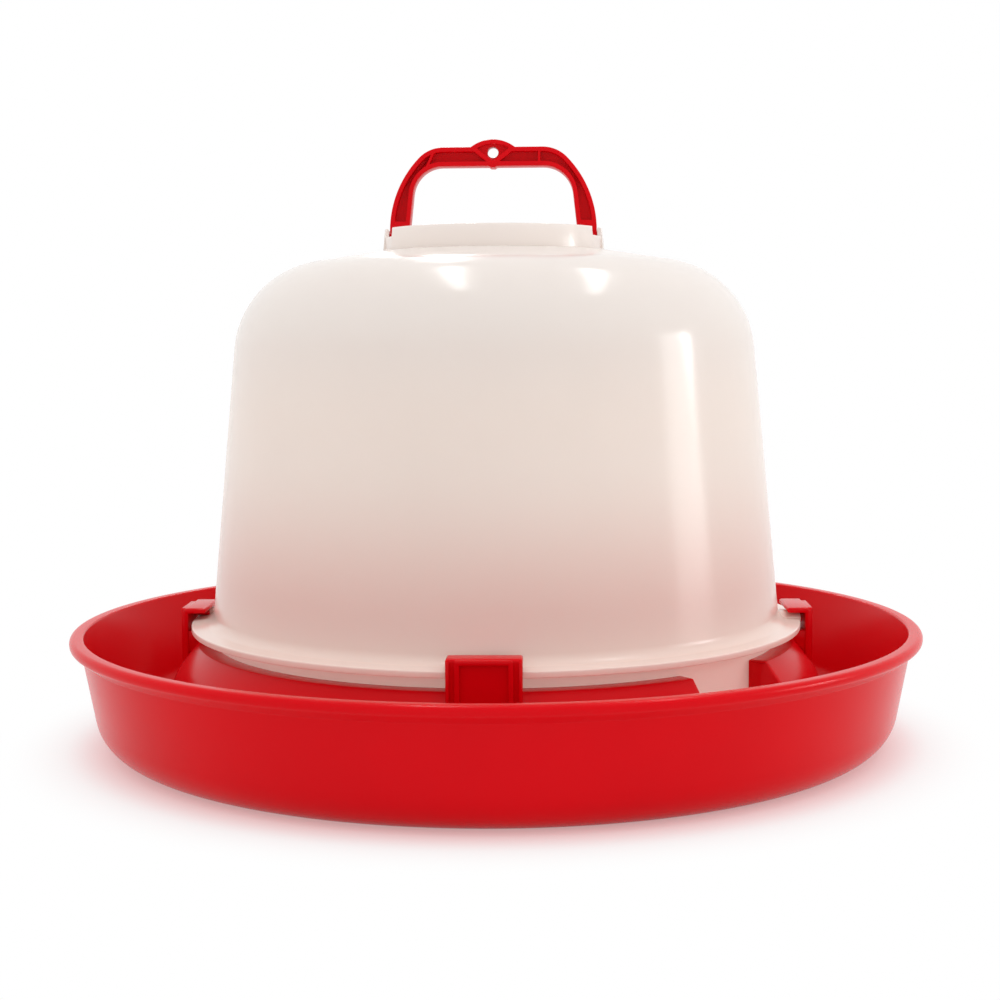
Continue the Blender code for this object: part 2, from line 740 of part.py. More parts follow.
def eye_pocket_outline():
    """Three-cornered recess round the eye's hole, under its crown."""
    crown = eye_line(FLANGE_BAND, EYE_POCKET_HALF, 6)
    return eye_sides(0.0, crown[0][1]) + crown[-2:0:-1]


def rib_outline(across, lean):
    """A thin rib through the pocket of the grip, at a place across it and leaning."""
    along = Vector((sin(lean), cos(lean))) * GRIP_THICK
    side = Vector((cos(lean), -sin(lean))) * RIB_THICK / 2
    centre = Vector((across, HANDLE_TOP - GRIP_THICK / 2))
    corners = (along + side, along - side, -along - side, -along + side)
    return [tuple(centre + corner) for corner in corners]


def build_handle(material):
    bail = prism("handle", handle_outline(), -HALF_DEPTH, HALF_DEPTH, frontal)
    bevel_edges(
        bail,
        lambda a, b: max(a.z, b.z) < FOOT_BOTTOM + CLEAR and abs(a.y - b.y) < CLEAR,
        FOOT_ROUND, 4,
    )
    for front in (-1.0, 1.0):
        low, high = sorted((front * WEB_THICK / 2, front * HANDLE_DEPTH))
        keep_low, keep_high = sorted((0.0, front * 2 * HANDLE_DEPTH))
        pocket = prism("pocket", pocket_outline(), low, high, frontal)
        shield = prism("shield", eye_sides(FLANGE_BAND, EYE_CROWN), keep_low, keep_high, frontal)
        combine(pocket, shield, "DIFFERENCE")
        for across, lean in ((RIB_RIGHT, 0.0), (RIB_LEFT, RIB_LEAN)):
            rib = prism("rib", rib_outline(across, lean), keep_low, keep_high, frontal)
            combine(pocket, rib, "DIFFERENCE")
        combine(bail, pocket, "DIFFERENCE")
        low, high = sorted((front * EYE_WEB / 2, front * HANDLE_DEPTH))
        combine(bail, prism("recess", eye_pocket_outline(), low, high, frontal), "DIFFERENCE")
    bore = circle((0.0, EYE_HEIGHT), EYE_RADIUS, PIN_FACETS)
    combine(bail, prism("bore", bore, -HANDLE_DEPTH, HANDLE_DEPTH, frontal), "DIFFERENCE")
    outline = circle((0.0, PIVOT_HEIGHT), PIN_RADIUS, PIN_FACETS)
    root = FOOT_REACH - LEG_WIDTH / 4
    for side in (-1.0, 1.0):
        low, high = sorted((side * root, side * (COLLAR_TOP_RADIUS - PIN_INSET)))
        combine(bail, prism("pin", outline, low, high, along_x), "UNION")
    finish(bail, "handle", material)
    return bail


def main():
    clear_scene()
    red = plastic("red_moulding", (0.62, 0.010, 0.014), 0.30)
    milk = plastic("milky_moulding", (0.84, 0.77, 0.71), 0.35)
    grip = plastic("red_handle_moulding", (0.64, 0.008, 0.014), 0.32)
    tray = build_tray(red)
    reservoir = build_reservoir(milk)
    handle = build_handle(grip)
    pivot = Vector((0.0, 0.0, PIVOT_HEIGHT))
    handle.data.transform(Matrix.Translation(-pivot))
    handle.location = pivot
    reservoir.parent = tray
    handle.parent = reservoir
    bpy.context.view_layer.update()


main()
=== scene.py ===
"""Poultry drinker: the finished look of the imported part.

The file is laid out as an add-on: sizes and colours are properties, each piece or group of like
pieces has an operator, and a panel in the sidebar lists them. Lengths are metres and +Z is up. The
drinker's front is -Y, and a bearing is an angle round Z that runs from the front towards +X.
"""

from math import asin, atan2, ceil, cos, pi, radians, sin, sqrt, tan

import bmesh
import bpy
from bpy.props import FloatProperty, FloatVectorProperty, PointerProperty
from mathutils import Matrix, Vector


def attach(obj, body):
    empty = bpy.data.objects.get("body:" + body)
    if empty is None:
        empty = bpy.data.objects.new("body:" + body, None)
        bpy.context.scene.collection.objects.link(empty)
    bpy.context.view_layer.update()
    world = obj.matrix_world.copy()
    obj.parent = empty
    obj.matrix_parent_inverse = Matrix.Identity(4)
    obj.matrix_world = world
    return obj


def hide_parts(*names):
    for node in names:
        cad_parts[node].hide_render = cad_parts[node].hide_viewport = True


bl_info = {
    "name": "Poultry drinker",
    "version": (1, 0, 0),
    "blender": (4, 5, 0),
    "location": "3D View > Sidebar > Drinker",
    "description": "Builds a poultry drinker with its tray, lugs, reservoir, handle and studio",
    "category": "Object",
}

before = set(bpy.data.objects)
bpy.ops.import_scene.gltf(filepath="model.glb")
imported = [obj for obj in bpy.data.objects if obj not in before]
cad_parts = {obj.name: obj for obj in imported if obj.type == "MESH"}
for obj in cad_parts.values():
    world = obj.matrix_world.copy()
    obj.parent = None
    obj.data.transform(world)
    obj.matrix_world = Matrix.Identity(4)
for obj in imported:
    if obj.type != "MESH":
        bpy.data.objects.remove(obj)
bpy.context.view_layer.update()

# All mouldings
CLEAR = 0.0003                 # gap where two mouldings seat on each other
HAIR = 0.00035                 # rounding that a mould leaves on every sharp edge

# Tray pan
LIP_REACH = 0.0056             # how far the rolled lip stands out from the wall
LIP_DEPTH = 0.0080             # from the lip's top to where it meets the wall
LIP_FACE = 0.0040
LIP_ROUND = 0.0024
LIP_CREASE = 0.0010            # rounding under the lip
PAN_WALL = 0.0022
PAN_TAPER = radians(10.4)
PAN_ROUND = 0.0195
FLOOR_TOP = 0.0030
FOOT_WIDTH = 0.0062
FOOT_STEP = 0.0006

# Ring that the reservoir stands in
RING_TOP = 0.0473
RING_LAND = 0.0083
RING_KNEE = 0.0215
RING_KNEE_HEIGHT = 0.0306
RING_FOOT = 0.0256
RING_EDGE = 0.0007
RING_ROUND = 0.040
RING_FILLET = 0.0045
GAP_BEARING = radians(48.0)    # middle of the first water gap
GAP_HALF = radians(10.4)
GAP_COUNT = 2
GAP_EDGE = 0.0010              # rounding of the gap's end walls

# Lugs
LUG_COUNT = 4
HOOK_GAP = 0.0034
HOOK_PLATE = 0.0024
HOOK_OVERLAP = 0.0070
HOOK_NOSE = 0.0008
LUG_WALL = 0.0018
LUG_ROOT = 0.0062
LUG_RADIAL_CLEAR = 0.0016
LEDGE_DROP = 0.0022
LEDGE_INSET = 0.0010
STOP_WIDTH = 0.0030
STOP_HEIGHT = 0.0020
STOP_INSET = 0.0012
FRAME_WIDTH = 0.0235
FRAME_BAR = 0.0020
FRAME_PROUD = 0.0020
FRAME_DROP = 0.0004
BEAD_WIDTH = 0.0013
BEAD_PROUD = 0.0010
CORNER_ROUND = 0.0012

# Reservoir
SKIRT_RADIUS = 0.1325
SKIRT_CLEAR = 0.0005
RESERVOIR_WALL = 0.0020
BELL_STEP = 0.0020
FLANGE_REACH = 0.0100
FLANGE_GAP = 0.0059
FLANGE_EDGE = 0.0030
FLANGE_ROUND = 0.0007
FLANGE_RISE = 0.0010
FLARE_ROUND = 0.0050
BELL_TAPER = radians(5.5)
SHOULDER_ROUND = 0.0447
CROWN_SLOPE = radians(9.0)
OUTLET_WIDTH = 0.0240
OUTLET_TOP = 0.0240
OUTLET_ARCH = 0.0060
TAB_LENGTH = 0.0116
TAB_RAMP = 0.0040
TAB_INSET = 0.0003

# Collar
COLLAR_TOP_RADIUS = 0.0512
COLLAR_SPREAD = 0.0010
COLLAR_RISE = 0.0101
COLLAR_WALL = 0.0017
COLLAR_SINK = 0.0010
COLLAR_EDGE = 0.0004
NOTCH_BEARING = radians(71.4)
NOTCH_HALF = radians(7.6)
NOTCH_DEPTH = 0.0040
PANEL_DEPTH = 0.0004           # the shallow panel under each notch

# Handle
PIVOT_DROP = 0.0035
PIN_RADIUS = 0.0022
PIN_INSET = 0.0004
HANDLE_RISE = 0.0414
SPRING_RISE = 0.0026
HANDLE_SHOULDER = 0.0160
LEG_WIDTH = 0.0090
LEG_LEAN = 0.0034
FINGER_ROUND = 0.0140
LEG_ROUND = 0.0400
HANDLE_CLEAR = 0.0006
FOOT_ROUND = 0.0058
FLANGE_BAND = 0.0021
CROSS_BAR_RISE = 0.0073
RIB_THICK = 0.0012
RIB_RIGHT = 0.0216
RIB_LEFT = -0.0288
RIB_LEAN = radians(24)
EYE_RADIUS = 0.00255
EYE_DROP = 0.0023
EYE_RISE = 0.0035
EYE_HALF = 0.0103
EYE_POCKET_HALF = 0.0074
EYE_LAND = 0.0023
EYE_WEB = 0.0070
NUB_DROP = 0.0007
NUB_HALF = 0.0020

# Sizes that follow from the ones above
BELL_FOOT_RADIUS = SKIRT_RADIUS + BELL_STEP
FLANGE_RADIUS = BELL_FOOT_RADIUS + FLANGE_REACH
FLANGE_UNDER = RING_TOP + FLANGE_GAP
FLANGE_TOP = FLANGE_UNDER + FLANGE_EDGE
RING_BORE = SKIRT_RADIUS + SKIRT_CLEAR
LUG_FACE = FLANGE_RADIUS + LUG_RADIAL_CLEAR + LUG_WALL
HOOK_INNER = FLANGE_RADIUS - HOOK_OVERLAP
HOOK_UNDER = FLANGE_TOP + HOOK_GAP
LUG_TOP = HOOK_UNDER + HOOK_PLATE
TAB_TOP = HOOK_UNDER - CLEAR
COLLAR_FOOT_RADIUS = COLLAR_TOP_RADIUS + COLLAR_SPREAD
COLLAR_BORE = COLLAR_TOP_RADIUS - COLLAR_WALL

# Making
TURN_STEPS = 240               # facets of a full turn
HOLE_STEPS = 48                # facets of a round hole or pin
ARCH_STEPS = 12                # facets of an outlet's arch
EDGE_STEPS = 2                 # facets of a softened edge
CORNER_STEPS = 5               # facets of the lugs' upper corners
FINE = 3                       # steps of a rounding per step of the plain solid
MERGE = 0.000004               # drawn points nearer than this are one point
SPECK = 0.000001               # points that a Boolean leaves nearer than this are one point
SHARP = radians(32)            # edges that bend more than this are rounded
STEEP = radians(40)            # the same for the pan and the handle, whose curves bend more
SMOOTH = radians(28)           # faces that bend less than this are shaded as one surface
ROOM = 0.98                    # share of its shorter side that a corner's rounding may use
RIGHT = Vector((1, 0, 0))      # lugs, tabs and cuts are made on this side and then turned
BACK = Vector((0, 1, 0))

# Red finish
RED_CLOUD = (11.0, 3.0)        # a noise: spots to the metre, and layers
RED_CLOUD_FADE = (0.35, 0.65)  # its levels where a cloud begins and where it is full
RED_CLOUD_TINTS = (0.97, 1.02)  # shares of the colour outside and inside a cloud
RED_CLOUD_MATT = 0.02          # roughness that it adds
RED_RUB = (70.0, 6.0)          # rubbed patches
RED_RUB_STRETCH = (1, 1, 3)
RED_RUB_FADE = (0.56, 0.74)
RED_RUB_MATT = 0.03
RED_GRAIN = (420.0, 1.0)
RED_GRAIN_DEPTH = 0.000006
RED_WAVE = (45.0, 1.0)
RED_WAVE_DEPTH = 0.00003
RED_IOR = 1.49
RED_GLOSS = 0.09

# Milky finish
MILK_CLOUD = (9.0, 4.0)
MILK_CLOUD_FADE = (0.3, 0.7)
MILK_CLOUD_TINTS = (0.985, 1.015)
MILK_CLOUD_MATT = 0.04
MILK_FLOW = (42.0, 2.0)        # upright marks that the melt left as it filled the mould
MILK_FLOW_STRETCH = (1, 1, 0.08)
MILK_FLOW_FADE = (0.45, 0.75)
MILK_FLOW_SHARE = 0.2
MILK_FLOW_TINT = 0.95
MILK_FLOW_DEPTH = 0.00004
MILK_GRAIN = (500.0, 1.0)
MILK_GRAIN_DEPTH = 0.000004
MILK_IOR = 1.5
MILK_GLOSS = 0.22
MILK_REACH = 0.006             # how far light wanders inside the wall
# Painted light: the crown is tinted cooler and paler, as less of the tray's red light reaches it
PAINTED_CROWN_BAND = (0.15, 0.21)       # heights between which the bell turns paler
PAINTED_CROWN_TINT = (0.93, 0.975, 1.015)
# Painted light: a pink tint in the bell's foot stands in for the tray's red light coming through
# the milky wall
PAINTED_PINK_RISE = (0.052, 0.080)     # heights between which the tray's red shows more and more
PAINTED_PINK_START = 0.45              # its share at the flange
PAINTED_PINK_FALL = (0.074, 0.140)     # heights between which it goes again
PAINTED_PINK_CLOUDS = 0.08             # share of it that comes and goes with the clouds
PAINTED_PINK_TINT = (0.91, 0.765, 0.765)
# Painted glow: an emission in the low skirt stands in for light that comes through the thin wall
PAINTED_SKIRT_GLOW_BAND = (0.0500, 0.0560)  # heights over which the light through the thin skirt ends
PAINTED_SKIRT_GLOW = (0.66, 0.60, 0.53, 1.0)
PAINTED_SKIRT_GLOW_POWER = 0.3

# Studio
WHITE = (1.0, 1.0, 1.0, 1.0)
BLACK = (0.0, 0.0, 0.0, 1.0)
FLOOR_RADIUS = 9.0
FLOOR_STEPS = 96
# Painted light: the floor's glow by the base is tinted with the red light that the tray throws on
# it
PAINTED_RED_BOUNCE = (1.0, 0.62, 0.62, 1.0)  # the red that the base throws on the floor
PAINTED_RED_BOUNCE_FADE = (0.175, 0.205)    # radii where it starts to fade and ends
WHITE_FADE = (0.175, 0.235)    # radii where the floor starts to turn white and is white
AIR_FADE = (-0.9, 0.3)         # the even light's change from the camera's side to the back
BELL_MIDDLE = Vector((0.0, 0.0, 0.14))
OVERHEAD_PLACE = (0.1, -0.3, 2.2)
OVERHEAD_SPAN = (1.8, 1.8)
SIDE_PLACE = (1.62, -0.10, 0.45)
SIDE_SPAN = (0.60, 0.80)

# Panels that only reflections see: name, place, span, power and perhaps a turn in degrees
GLINTS = (
    ("side_panel", (1.62, -0.185, 0.40), (0.47, 0.56), 5.0),
    ("side_core", (1.60, -0.005, 0.53), (0.11, 0.30), 2.2),
    ("side_edge", (1.61, 0.030, 0.40), (0.04, 0.56), 0.7),
    ("window_left", (-0.25, 0.21, 1.71), (0.09, 1.10), 7.0, (0.0, 0.0, 0.0)),
    ("window_right", (0.68, 0.32, 1.71), (0.13, 1.11), 7.0, (0.0, 0.0, 19.0)),
    ("window_low", (-0.22, 1.9, 0.91), (0.17, 0.38), 0.8, (-90.0, 0.0, 0.0)),
    ("window_high", (-0.27, 1.9, 1.70), (0.15, 1.30), 5.3, (-90.0, -8.0, 0.0)),
)

# Camera
CAMERA_PLACE = (0.02861, -0.83952, 0.1894)
CAMERA_TURN = radians(1.8)
CAMERA_PITCH = radians(-5.27)
CAMERA_ROLL = radians(-0.346)
SENSOR_WIDTH = 36.0            # millimetres, as the lens is
VIEW_END = 50.0


class DrinkerTray(bpy.types.PropertyGroup):
    """Sizes and finish of the tray and its lugs"""

    rim_radius: FloatProperty(
        name="Rim radius", description="Outer radius of the tray's rolled lip",
        default=0.200, unit="LENGTH",
    )
    rim_height: FloatProperty(
        name="Rim height", description="Height of the lip's top above the ground",
        default=0.054, unit="LENGTH",
    )
    lug_width: FloatProperty(
        name="Lug width", description="Width of each hooked lug", default=0.0310, unit="LENGTH",
    )
    colour: FloatVectorProperty(
        name="Colour", description="Colour of the red moulding", subtype="COLOR",
        default=(0.69, 0.0015, 0.006), min=0.0, max=1.0,
    )
    roughness: FloatProperty(
        name="Roughness", description="Roughness of the tray's surface", subtype="FACTOR",
        default=0.20, min=0.0, max=1.0,
    )


class DrinkerReservoir(bpy.types.PropertyGroup):
    """Height and finish of the reservoir"""

    crown_height: FloatProperty(
        name="Crown height", description="Height where the crown meets the collar",
        default=0.230, unit="LENGTH",
    )
    colour: FloatVectorProperty(
        name="Colour", description="Colour of the milky moulding", subtype="COLOR",
        default=(0.92, 0.79, 0.705), min=0.0, max=1.0,
    )
    roughness: FloatProperty(
        name="Roughness", description="Roughness of the reservoir's surface", subtype="FACTOR",
        default=0.16, min=0.0, max=1.0,
    )
    milkiness: FloatProperty(
        name="Milkiness", description="Share of the light that goes into the wall and out again",
        subtype="FACTOR", default=0.4, min=0.0, max=1.0,
    )


class DrinkerHandle(bpy.types.PropertyGroup):
    """Sizes and finish of the handle"""

    depth: FloatProperty(
        name="Depth", description="Depth of the handle from front to back",
        default=0.0120, unit="LENGTH",
    )
    web: FloatProperty(
        name="Web", description="Thickness of the web between the edge flanges",
        default=0.0032, unit="LENGTH",
    )
    grip: FloatProperty(
        name="Grip", description="Height of the grip's section", default=0.0087, unit="LENGTH",
    )
    colour: FloatVectorProperty(
        name="Colour", description="Colour of the handle's red moulding", subtype="COLOR",
        default=(0.70, 0.0015, 0.006), min=0.0, max=1.0,
    )
    roughness: FloatProperty(
        name="Roughness", description="Roughness of the handle's surface", subtype="FACTOR",
        default=0.30, min=0.0, max=1.0,
    )


class DrinkerStudio(bpy.types.PropertyGroup):
    """Floor, light and camera"""

    floor: FloatVectorProperty(
        name="Floor", description="Colour of the studio floor", subtype="COLOR",
        default=(0.92, 0.92, 0.92), min=0.0, max=1.0,
    )
    daylight: FloatProperty(
        name="Daylight", description="Level of the even light from all sides",
        default=1.0, min=0.0, soft_max=3.0,
    )
    front: FloatProperty(
        name="Front", description="Share of the even light that comes from the camera's side",
        subtype="FACTOR", default=0.82, min=0.0, max=1.0,
    )
    side: FloatProperty(
        name="Side", description="Power of the soft light on the right",
        default=2.3, min=0.0, unit="POWER",
    )
    overhead: FloatProperty(
        name="Overhead", description="Power of the large soft light above",
        default=9.0, min=0.0, unit="POWER",
    )
    lift: FloatProperty(
        name="Lift", description="Share of white in the floor under the drinker's base",
        subtype="FACTOR", default=0.50, min=0.0, max=1.0,
    )
    lens: FloatProperty(
        name="Lens", description="Focal length of the camera on a 36 mm sensor",
        default=63.44, min=1.0, unit="CAMERA",
    )


# Lines and outlines

def arc(centre, radius, start, end, steps):
    """Points of an arc, both ends included."""
    points = []
    for i in range(steps + 1):
        angle = start + (end - start) * i / steps
        points.append((centre[0] + radius * cos(angle), centre[1] + radius * sin(angle)))
    return points


def offset(line, distance):
    """An open line moved to its right; its corners are (u, v) or (u, v, radius, steps)."""
    runs = []
    for a, b in zip(line, line[1:]):
        runs.append(Vector((b[0] - a[0], b[1] - a[1])).normalized())
    moved = []
    for i, (u, v, *bend) in enumerate(line):
        radius, steps = bend or (0.0, 0)
        before = runs[max(i - 1, 0)]
        after = runs[min(i, len(runs) - 1)]
        middle = Vector((before.y + after.y, -before.x - after.x)).normalized()
        reach = distance / (middle.x * before.y - middle.y * before.x)
        turn = before.x * after.y - before.y * after.x
        if radius > 0:
            radius = max(radius + (distance if turn > 0 else -distance), 0.0)
        moved.append((u + middle.x * reach, v + middle.y * reach, radius, steps))
    return moved


def rounded(line):
    """Points of an open line of such corners with the roundings drawn in."""
    points = []
    for i, (u, v, *bend) in enumerate(line):
        radius, steps = bend or (0.0, 0)
        if radius <= 0 or i in (0, len(line) - 1):
            points.append((u, v))
            continue
        corner = Vector((u, v))
        back = Vector(line[i - 1][:2]) - corner
        ahead = Vector(line[i + 1][:2]) - corner
        half = back.angle(ahead) / 2
        room = min(back.length, ahead.length) * ROOM
        reach = min(radius / tan(half), room)
        radius = reach * tan(half)
        back.normalize()
        ahead.normalize()
        centre = corner + (back + ahead).normalized() * (radius / sin(half))
        first = corner + back * reach - centre
        last = corner + ahead * reach - centre
        start = atan2(first.y, first.x)
        sweep = atan2(last.y, last.x) - start
        if abs(sweep) > pi:
            sweep -= 2 * pi if sweep > 0 else -2 * pi
        points += arc(centre, radius, start, start + sweep, steps * FINE)
    return points


def mirrored(points):
    """A right-hand line followed by its left-hand mirror image."""
    return points + [(-x, z) for x, z in reversed(points)]


def above(points, low):
    """The part of a rising line of points that lies above a height."""
    for i, (a, b) in enumerate(zip(points, points[1:])):
        if a[1] <= low < b[1]:
            share = (low - a[1]) / (b[1] - a[1])
            return [(a[0] + share * (b[0] - a[0]), low)] + points[i + 1:]
    return points


def circle(centre, radius):
    """A closed circle of points."""
    return arc(centre, radius, 0.0, 2 * pi, HOLE_STEPS)[:-1]


def oblong(left, right, low, high):
    """The four corners of an upright rectangle."""
    return [(left, low), (right, low), (right, high), (left, high)]


def even_turns(count, first=0.0):
    """Angles that share a full turn evenly."""
    return [first + 2 * pi * i / count for i in range(count)]


def bearing_angle(bearing):
    """Angle from +X of a bearing, which runs from the front (-Y) towards +X."""
    return bearing - pi / 2


def section(angle):
    """Places (r, z) points in the upright plane at an angle round Z."""
    return lambda u, v: (u * cos(angle), u * sin(angle), v)


def frontal(u, v):
    """Places (x, z) points in the plane of the handle."""
    return (u, 0.0, v)


def sideways(u, v):
    """Places (y, z) points in the plane across +X."""
    return (0.0, u, v)


# Work in object and edit mode

def only(item):
    """Leaves object mode's selection on one object."""
    bpy.ops.object.select_all(action="DESELECT")
    item.select_set(True)
    bpy.context.view_layer.objects.active = item


def merge_points(distance=MERGE):
    """Selects the whole mesh in edit mode and makes one point of those that coincide."""
    bpy.ops.mesh.select_all(action="SELECT")
    bpy.ops.mesh.remove_doubles(threshold=distance)


def draw(name, points, place, closed=False):
    """A new object whose line is drawn by extruding its last point from place to place."""
    spots = [Vector(place(u, v)) for u, v in points]
    if closed:
        spots.append(spots[0])
    bpy.ops.object.select_all(action="DESELECT")
    bpy.ops.mesh.primitive_plane_add(size=CLEAR)
    item = bpy.context.object
    item.name = item.data.name = name
    bpy.ops.object.mode_set(mode="EDIT")
    bpy.ops.mesh.merge(type="CENTER")
    bpy.ops.transform.translate(value=spots[0])
    for a, b in zip(spots, spots[1:]):
        bpy.ops.mesh.extrude_region_move(TRANSFORM_OT_translate={"value": b - a})
    merge_points()
    return item


def plate(name, outline, place, way, low, high, edge=0.0):
    """A closed outline filled and pushed to a thickness along a direction, edges softened."""
    item = draw(name, outline, place, closed=True)
    bpy.ops.mesh.edge_face_add()
    bpy.ops.transform.translate(value=way * low)
    bpy.ops.mesh.extrude_region_move(TRANSFORM_OT_translate={"value": way * (high - low)})
    settle()
    if edge:
        soften(item, edge)
    return item


def settle():
    """Merges doubled points, turns the faces outwards and leaves edit mode."""
    merge_points()
    bpy.ops.mesh.normals_make_consistent(inside=False)
    bpy.ops.object.mode_set(mode="OBJECT")


def spun(name, points, start, sweep, steps):
    """An open (r, z) line spun round Z from an angle."""
    item = draw(name, points, section(start))
    bpy.ops.mesh.spin(steps=steps, angle=sweep, center=(0, 0, 0), axis=(0, 0, -1))
    settle()
    return item


def worked(item, kind, **settings):
    """Adds a modifier with its settings and applies it."""
    only(item)
    step = item.modifiers.new(kind.title(), kind)
    for key, value in settings.items():
        setattr(step, key, value)
    bpy.ops.object.modifier_apply(modifier=step.name)


def soften(item, width, angle=SHARP):
    """Rounds the edges of an object that bend more than an angle."""
    worked(
        item, "BEVEL", width=width, segments=EDGE_STEPS,
        limit_method="ANGLE", angle_limit=angle, use_clamp_overlap=False,
    )


def combine(item, tool, operation):
    """Applies one Boolean and removes the tool."""
    worked(item, "BOOLEAN", operation=operation, solver="MANIFOLD", object=tool)
    bpy.data.objects.remove(tool, do_unlink=True)


def joined(items):
    """Joins objects into the first one."""
    bpy.ops.object.select_all(action="DESELECT")
    for item in items:
        item.select_set(True)
    bpy.context.view_layer.objects.active = items[0]
    bpy.ops.object.join()
    return items[0]


def turned_copies(item, angles):
    """Copies of a form at angles round Z, each with its own mesh; the form itself goes."""
    copies = []
    for angle in angles:
        only(item)
        bpy.ops.object.duplicate()
        copy = bpy.context.object
        copy.rotation_euler.z = angle
        bpy.ops.object.transform_apply(location=False, rotation=True, scale=False)
        copies.append(copy)
    bpy.data.objects.remove(item, do_unlink=True)
    return copies


def round_chosen(item, chosen, width, segments):
    """Rounds the edges for which chosen(edge) is true."""
    only(item)
    bpy.ops.object.mode_set(mode="EDIT")
    bpy.ops.mesh.select_mode(type="EDGE")
    bpy.ops.mesh.select_all(action="DESELECT")
    form = bmesh.from_edit_mesh(item.data)
    for edge in form.edges:
        if chosen(edge):
            edge.select_set(True)
    bmesh.update_edit_mesh(item.data)
    bpy.ops.mesh.bevel(
        offset=width, offset_type="OFFSET", segments=segments, affect="EDGES", clamp_overlap=False,
    )
    bpy.ops.mesh.select_mode(type="VERT")
    settle()


def finished(item, name, body, slot, material, *nodes):
    """Merges a piece's specks, names and shades it, gives it its material and lets it ride."""
    only(item)
    bpy.ops.object.mode_set(mode="EDIT")
    merge_points(SPECK)
    bpy.ops.object.mode_set(mode="OBJECT")
    item.name = item.data.name = name
    bpy.ops.object.shade_smooth_by_angle(angle=SMOOTH)
    item.data.materials.clear()
    item.data.materials.append(material)
    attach(item, body)
    if nodes:
        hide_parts(*nodes)


# Shader work

class Wire:
    """One output of a node; arithmetic on it adds Math nodes."""

    def __init__(self, recipe, socket):
        self.recipe = recipe
        self.socket = socket

    def maths(self, operation, first, second):
        """One Math node on two numbers or wires."""
        return self.recipe.node("ShaderNodeMath", {"operation": operation}, {0: first, 1: second})

    def __add__(self, other):
        return self.maths("ADD", self, other)

    def __radd__(self, other):
        return self.maths("ADD", other, self)

    def __sub__(self, other):
        return self.maths("SUBTRACT", self, other)

    def __rsub__(self, other):
        return self.maths("SUBTRACT", other, self)

    def __mul__(self, other):
        return self.maths("MULTIPLY", self, other)

    def __rmul__(self, other):
        return self.maths("MULTIPLY", other, self)


class Recipe:
    """A material or world and its nodes."""

    def __init__(self, owner):
        self.owner = owner
        owner.use_nodes = True
        self.tree = owner.node_tree

    def node(self, kind, settings=None, inputs=None, output=0):
        """Adds a node: settings first, then the values or wires of its sockets."""
        made = self.tree.nodes.new(kind)
        for key, value in (settings or {}).items():
            setattr(made, key, value)
        self.feed(made, inputs or {})
        return Wire(self, made.outputs[output])

    def feed(self, node, inputs):
        """Links or sets the sockets of a node."""
        for key, value in inputs.items():
            if isinstance(value, Wire):
                self.tree.links.new(value.socket, node.inputs[key])
            else:
                node.inputs[key].default_value = value

    def place(self, scale=(1, 1, 1)):
        """Object coordinates, stretched by a scale."""
        spot = self.node("ShaderNodeTexCoord", output="Object")
        return self.node("ShaderNodeMapping", inputs={"Vector": spot, "Scale": scale})

    def noise(self, spot, scale, detail):
        """A noise of so many spots to the metre, with finer layers of it."""
        return self.node(
            "ShaderNodeTexNoise", inputs={"Vector": spot, "Scale": scale, "Detail": detail},
        )

    def levels(self, value, low, high, to_low=0.0, to_high=1.0):
        """A value mapped smoothly from one range to another."""
        return self.node(
            "ShaderNodeMapRange", {"interpolation_type": "SMOOTHSTEP"},
            {
                "Value": value, "From Min": low, "From Max": high,
                "To Min": to_low, "To Max": to_high,
            },
        )

    def mix(self, factor, first, second):
        """One colour that turns into another as the factor rises.

        A Mix node takes its two colours at inputs 6 and 7 and gives its colour at output 2.
        """
        return self.node(
            "ShaderNodeMix", {"data_type": "RGBA"}, {0: factor, 6: first, 7: second}, output=2,
        )

    def bump(self, height, distance, normal=None):
        """Unevenness of a depth in metres, on top of an earlier one."""
        inputs = {"Height": height, "Distance": distance, "Strength": 1.0}
        if normal:
            inputs["Normal"] = normal
        return self.node("ShaderNodeBump", inputs=inputs)

    def backdrop_rays(self):
        """1 for the rays that see the bare background: straight, in gloss and through walls."""
        path = self.node("ShaderNodeLightPath", output="Is Camera Ray")
        rays = path.socket.node.outputs
        return path + Wire(self, rays["Is Glossy Ray"]) + Wire(self, rays["Is Transmission Ray"])


def tinted(colour, tint):
    """A colour with its three parts scaled, opaque."""
    return tuple(min(part * share, 1.0) for part, share in zip(colour, tint)) + (1.0,)


def shade_of(colour, share=1.0):
    """A colour scaled by one share, opaque."""
    return tinted(colour, (share, share, share))


def red_plastic(name, size):
    """Gloss red moulding: cloudy pigment, a slightly uneven skin and a few rubbed patches."""
    recipe = Recipe(bpy.data.materials.new(name))
    spot = recipe.place()
    cloud = recipe.levels(recipe.noise(spot, *RED_CLOUD), *RED_CLOUD_FADE)
    dark, light = (shade_of(size.colour, share) for share in RED_CLOUD_TINTS)
    rubbed = recipe.noise(recipe.place(RED_RUB_STRETCH), *RED_RUB)
    rubbed = recipe.levels(rubbed, *RED_RUB_FADE)
    normal = recipe.bump(recipe.noise(spot, *RED_GRAIN), RED_GRAIN_DEPTH)
    normal = recipe.bump(recipe.noise(spot, *RED_WAVE), RED_WAVE_DEPTH, normal)
    recipe.feed(recipe.tree.nodes["Principled BSDF"], {
        "Base Color": recipe.mix(cloud, dark, light),
        "Roughness": size.roughness + rubbed * RED_RUB_MATT + cloud * RED_CLOUD_MATT,
        "Normal": normal,
        "IOR": RED_IOR,
        "Specular IOR Level": RED_GLOSS,
    })
    recipe.owner.diffuse_color = shade_of(size.colour)
    return recipe.owner


